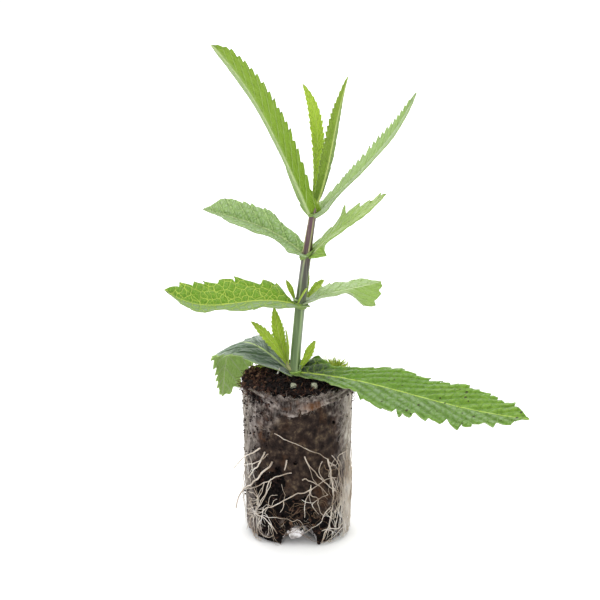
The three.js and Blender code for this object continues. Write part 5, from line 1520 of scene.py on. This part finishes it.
         clasp=(0.8, 0.8), seed=8, spacing=4, rise=1.5, sweep_up=0.4, quilt=0.12, wave=0.12),
    dict(name="leaf_5_left", node=5, skin="lime", azimuth=128, sweep=1, length=38.6, width=5.2,
         outline="young", pitch=[[0, 97], [0.5, 91], [1, 40]], roll=[[0, -26], [1, 12]], left=10, right=6,
         teeth=17, tooth=0.6, left_width=[[0, 0.4], [0.2, 0.55], [0.45, 0.9], [0.65, 1.1], [1, 1.1]],
         right_width=[[0, 1.3], [0.1, 1.6], [0.35, 1.3], [0.6, 0.92], [1, 0.85]], entire=0.12,
         clasp=(0.2, 0.2), seed=9, spacing=2.6, rise=1.3, quilt=0.1, wave=0.1),
    dict(name="leaf_5_right", node=5, skin="olive", azimuth=-50, sweep=5, length=43, width=5.6,
         outline="young", pitch=[[0, 65.5], [0.5, 76], [1, 69]], roll=[[0, 5], [1, -12]], left=22,
         right=21, teeth=19, tooth=0.75, left_width=[[0, 1], [0.4, 0.95], [1, 0.85]],
         right_width=[[0, 1], [0.1, 1.35], [0.3, 1.2], [0.5, 1], [1, 0.95]],
         left_tips=[(0.28, 0.5), (0.38, 0.5), (0.47, 0.5), (0.55, 0.4), (0.9, 0.1)], entire=0.12,
         clasp=(0.2, 0.2), seed=10, spacing=2.6, rise=1.5, quilt=0.1, wave=0.1),
]


def finished_leaf(leaf):
    """The blade with its thickness: the upper skin on top, the lower one below and on the rim."""
    leaf = {**LEAF_DEFAULTS, "wave_length": leaf["length"] / 3.4, **leaf}
    blade = finished(leaf_blade(leaf), leaf["name"], *LEAF_SKINS[leaf["skin"]])
    thickened(blade, leaf["blade"], -1, material_offset=1, material_offset_rim=1)
    return blade


for leaf in LEAVES:
    node_name, height = leaf["name"], NODE_HEIGHT[leaf["node"]]
    stem_radius, turn = smooth(STEM_RADIUS, height) * 1.02, math.radians(leaf["azimuth"])
    base = (smooth(STEM_LEAN, height) + stem_radius * math.cos(turn), stem_radius * math.sin(turn), height)
    piece = finished_leaf({**leaf, "name": node_name + "_blade", "stem_radius": stem_radius, "base": base})
    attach(piece, "root")
    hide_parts(node_name)

# Side shoots: in the axils of the two lower pairs, each a stub with leaflets a centimetre or so long,
# folded along their midribs, lime green and toothed near the tip.
SHOOTS = {
    # points of its stub, the stub's radius, then for each leaflet: base, azimuth, pitch, length, width,
    # roll, fold, teeth and their depth, all in mm and degrees
    "shoot_1_left": ([(-2.3, -0.8, 53.8), (-3.1, -0.8, 55.2), (-3.3, -0.8, 56.6)], 0.6, [
        ((-3.2, -0.8, 56), 202, [[0, 60], [1, 44]], 19.4, 3.7, 55, 6, 9, 0.6),
        ((-3.2, -0.6, 56), 148, [[0, 67], [1, 82]], 18.4, 3.8, 45, 4, 10, 0.45),
        ((-2.9, -0.9, 55.9), 223, [[0, 90], [1, 82]], 11.5, 2.8, 30, 12, 4, 0.3)]),
    "shoot_1_right": ([(0.6, -0.7, 53.6), (0.8, -1.0, 54.4), (0.9, -1.3, 55.6)], 0.45, [
        ((0.8, -1.3, 54.9), -26, [[0, 58], [1, 66]], 10.8, 3.4, -60, 6, 6, 0.6)]),
    "shoot_2_left": ([(0.2, 0.9, 76.2), (-0.9, 0.6, 76.8), (-1.1, -0.7, 76.8), (0.1, -2.3, 77)], 0.3, [
        ((-0.8, 0.5, 76.6), 153, [[0, 66], [1, 60]], 6.6, 1.9, 20, 10, 2, 0.2),
        ((0.0, -2.2, 76.4), -36, [[0, 58], [1, 56]], 6.2, 2.6, -30, 10, 2, 0.2)]),
    "shoot_2_right": ([(1.8, 1.3, 76.3), (2.7, 1.9, 77.1), (3.2, 1.4, 77.7)], 0.35, [
        ((2.6, 1.9, 77), 58, [[0, 86], [1, 80]], 9.0, 3.8, 40, 6, 7, 0.5),
        ((3, 1.5, 77.2), 19, [[0, 46], [1, 40]], 7.4, 3.4, -10, 12, 3, 0.5)]),
}
STALK_STEPS = 10
for name, (stub, thickness, leaflets) in SHOOTS.items():
    pieces = []
    for number, (base, azimuth, pitch, length, width, roll, fold, teeth, tooth) in enumerate(leaflets):
        pieces.append(finished_leaf(dict(
            name=f"{name}_leaflet_{number + 1}", skin="lime", base=base, azimuth=azimuth, pitch=pitch,
            length=length, width=width, outline="young", roll=roll, left=fold, right=fold, teeth=teeth,
            tooth=tooth, entire=0.28, seed=20 + number + len(name), spacing=2.2, rise=1.4,
            quilt=0.08, wave=0.1, columns=8, vein_width=0.3, rib_width=0.3, rib_depth=0.18,
            wave_length=5, blade=0.3)))
    tracks = [[(i, point[axis]) for i, point in enumerate(stub)] for axis in range(3)]
    line = []
    for i in range(STALK_STEPS + 1):
        at = i / STALK_STEPS * (len(stub) - 1)
        line.append((Vector([smooth(track, at) for track in tracks]), thickness))
    stalk = strands(name + "_stalk", [line], skin, 2)
    # the stem's skin takes its colour from a height: the left one is purple-brown, the others green
    colour_height = 95 if name == "shoot_1_left" else 60
    uv_layer(stalk.data, "stem", [(0, colour_height)] * len(stalk.data.vertices))
    for piece in pieces + [stalk]:
        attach(piece, "root")
    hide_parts(name)

# Leaf collars: the bases of a pair are joined round the stem by a low grey-green rim, slanted with
# the pair. Each is a band round the stem, higher in front, and thin at its upper edge.
COLLARS = {
    # pair: height at the front, its rise from left to right, how tall it is in front, in mm
    1: (53.0, 0.2, 1.6), 2: (75.1, -0.5, 1.7), 3: (91.3, 1.3, 1.3), 4: (104.1, 0.3, 0.9),
}


def collar_place(vertex, pair, level, slant, tall):
    """A vertex of the grid on a collar, round the stem along X and up it along Y."""
    angle, share = vertex.x * math.tau, vertex.y + 0.5
    front = 0.5 + 0.5 * math.cos(angle)
    middle = level + slant * math.sin(angle) - 0.15 * front
    height = middle + (share - 0.5) * tall * (0.45 + 0.55 * front)
    away = smooth(STEM_RADIUS, height) * 1.2 + 0.12 + 0.45 * share ** 2 + 0.1 * math.sin(3 * angle + pair)
    return on_plug(angle, away, height) + Vector((smooth(STEM_LEAN, height), 0, 0))


for pair, (level, slant, tall) in COLLARS.items():
    bpy.ops.mesh.primitive_grid_add(x_subdivisions=64, y_subdivisions=10, size=1)
    collar = bpy.context.object
    shape(collar, lambda vertex: collar_place(vertex, pair, level, slant, tall))
    merged(collar, 0.01, outwards=True)
    flat = []
    for vertex in collar.data.vertices:
        x, y, height = vertex.co
        turn = math.atan2(x - smooth(STEM_LEAN, height / MM) * MM, -y)
        flat.append((turn * 2 + 8, height / MM))
    uv_layer(collar.data, "blade", flat)
    uv_layer(collar.data, "veins", [(0.5, 0.5)] * len(flat))
    thickened(collar, 0.3)
    finished(collar, f"leaf_collar_{pair}", LEAF_SKINS["pale" if pair > 1 else "curled"][1])
    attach(collar, "root")
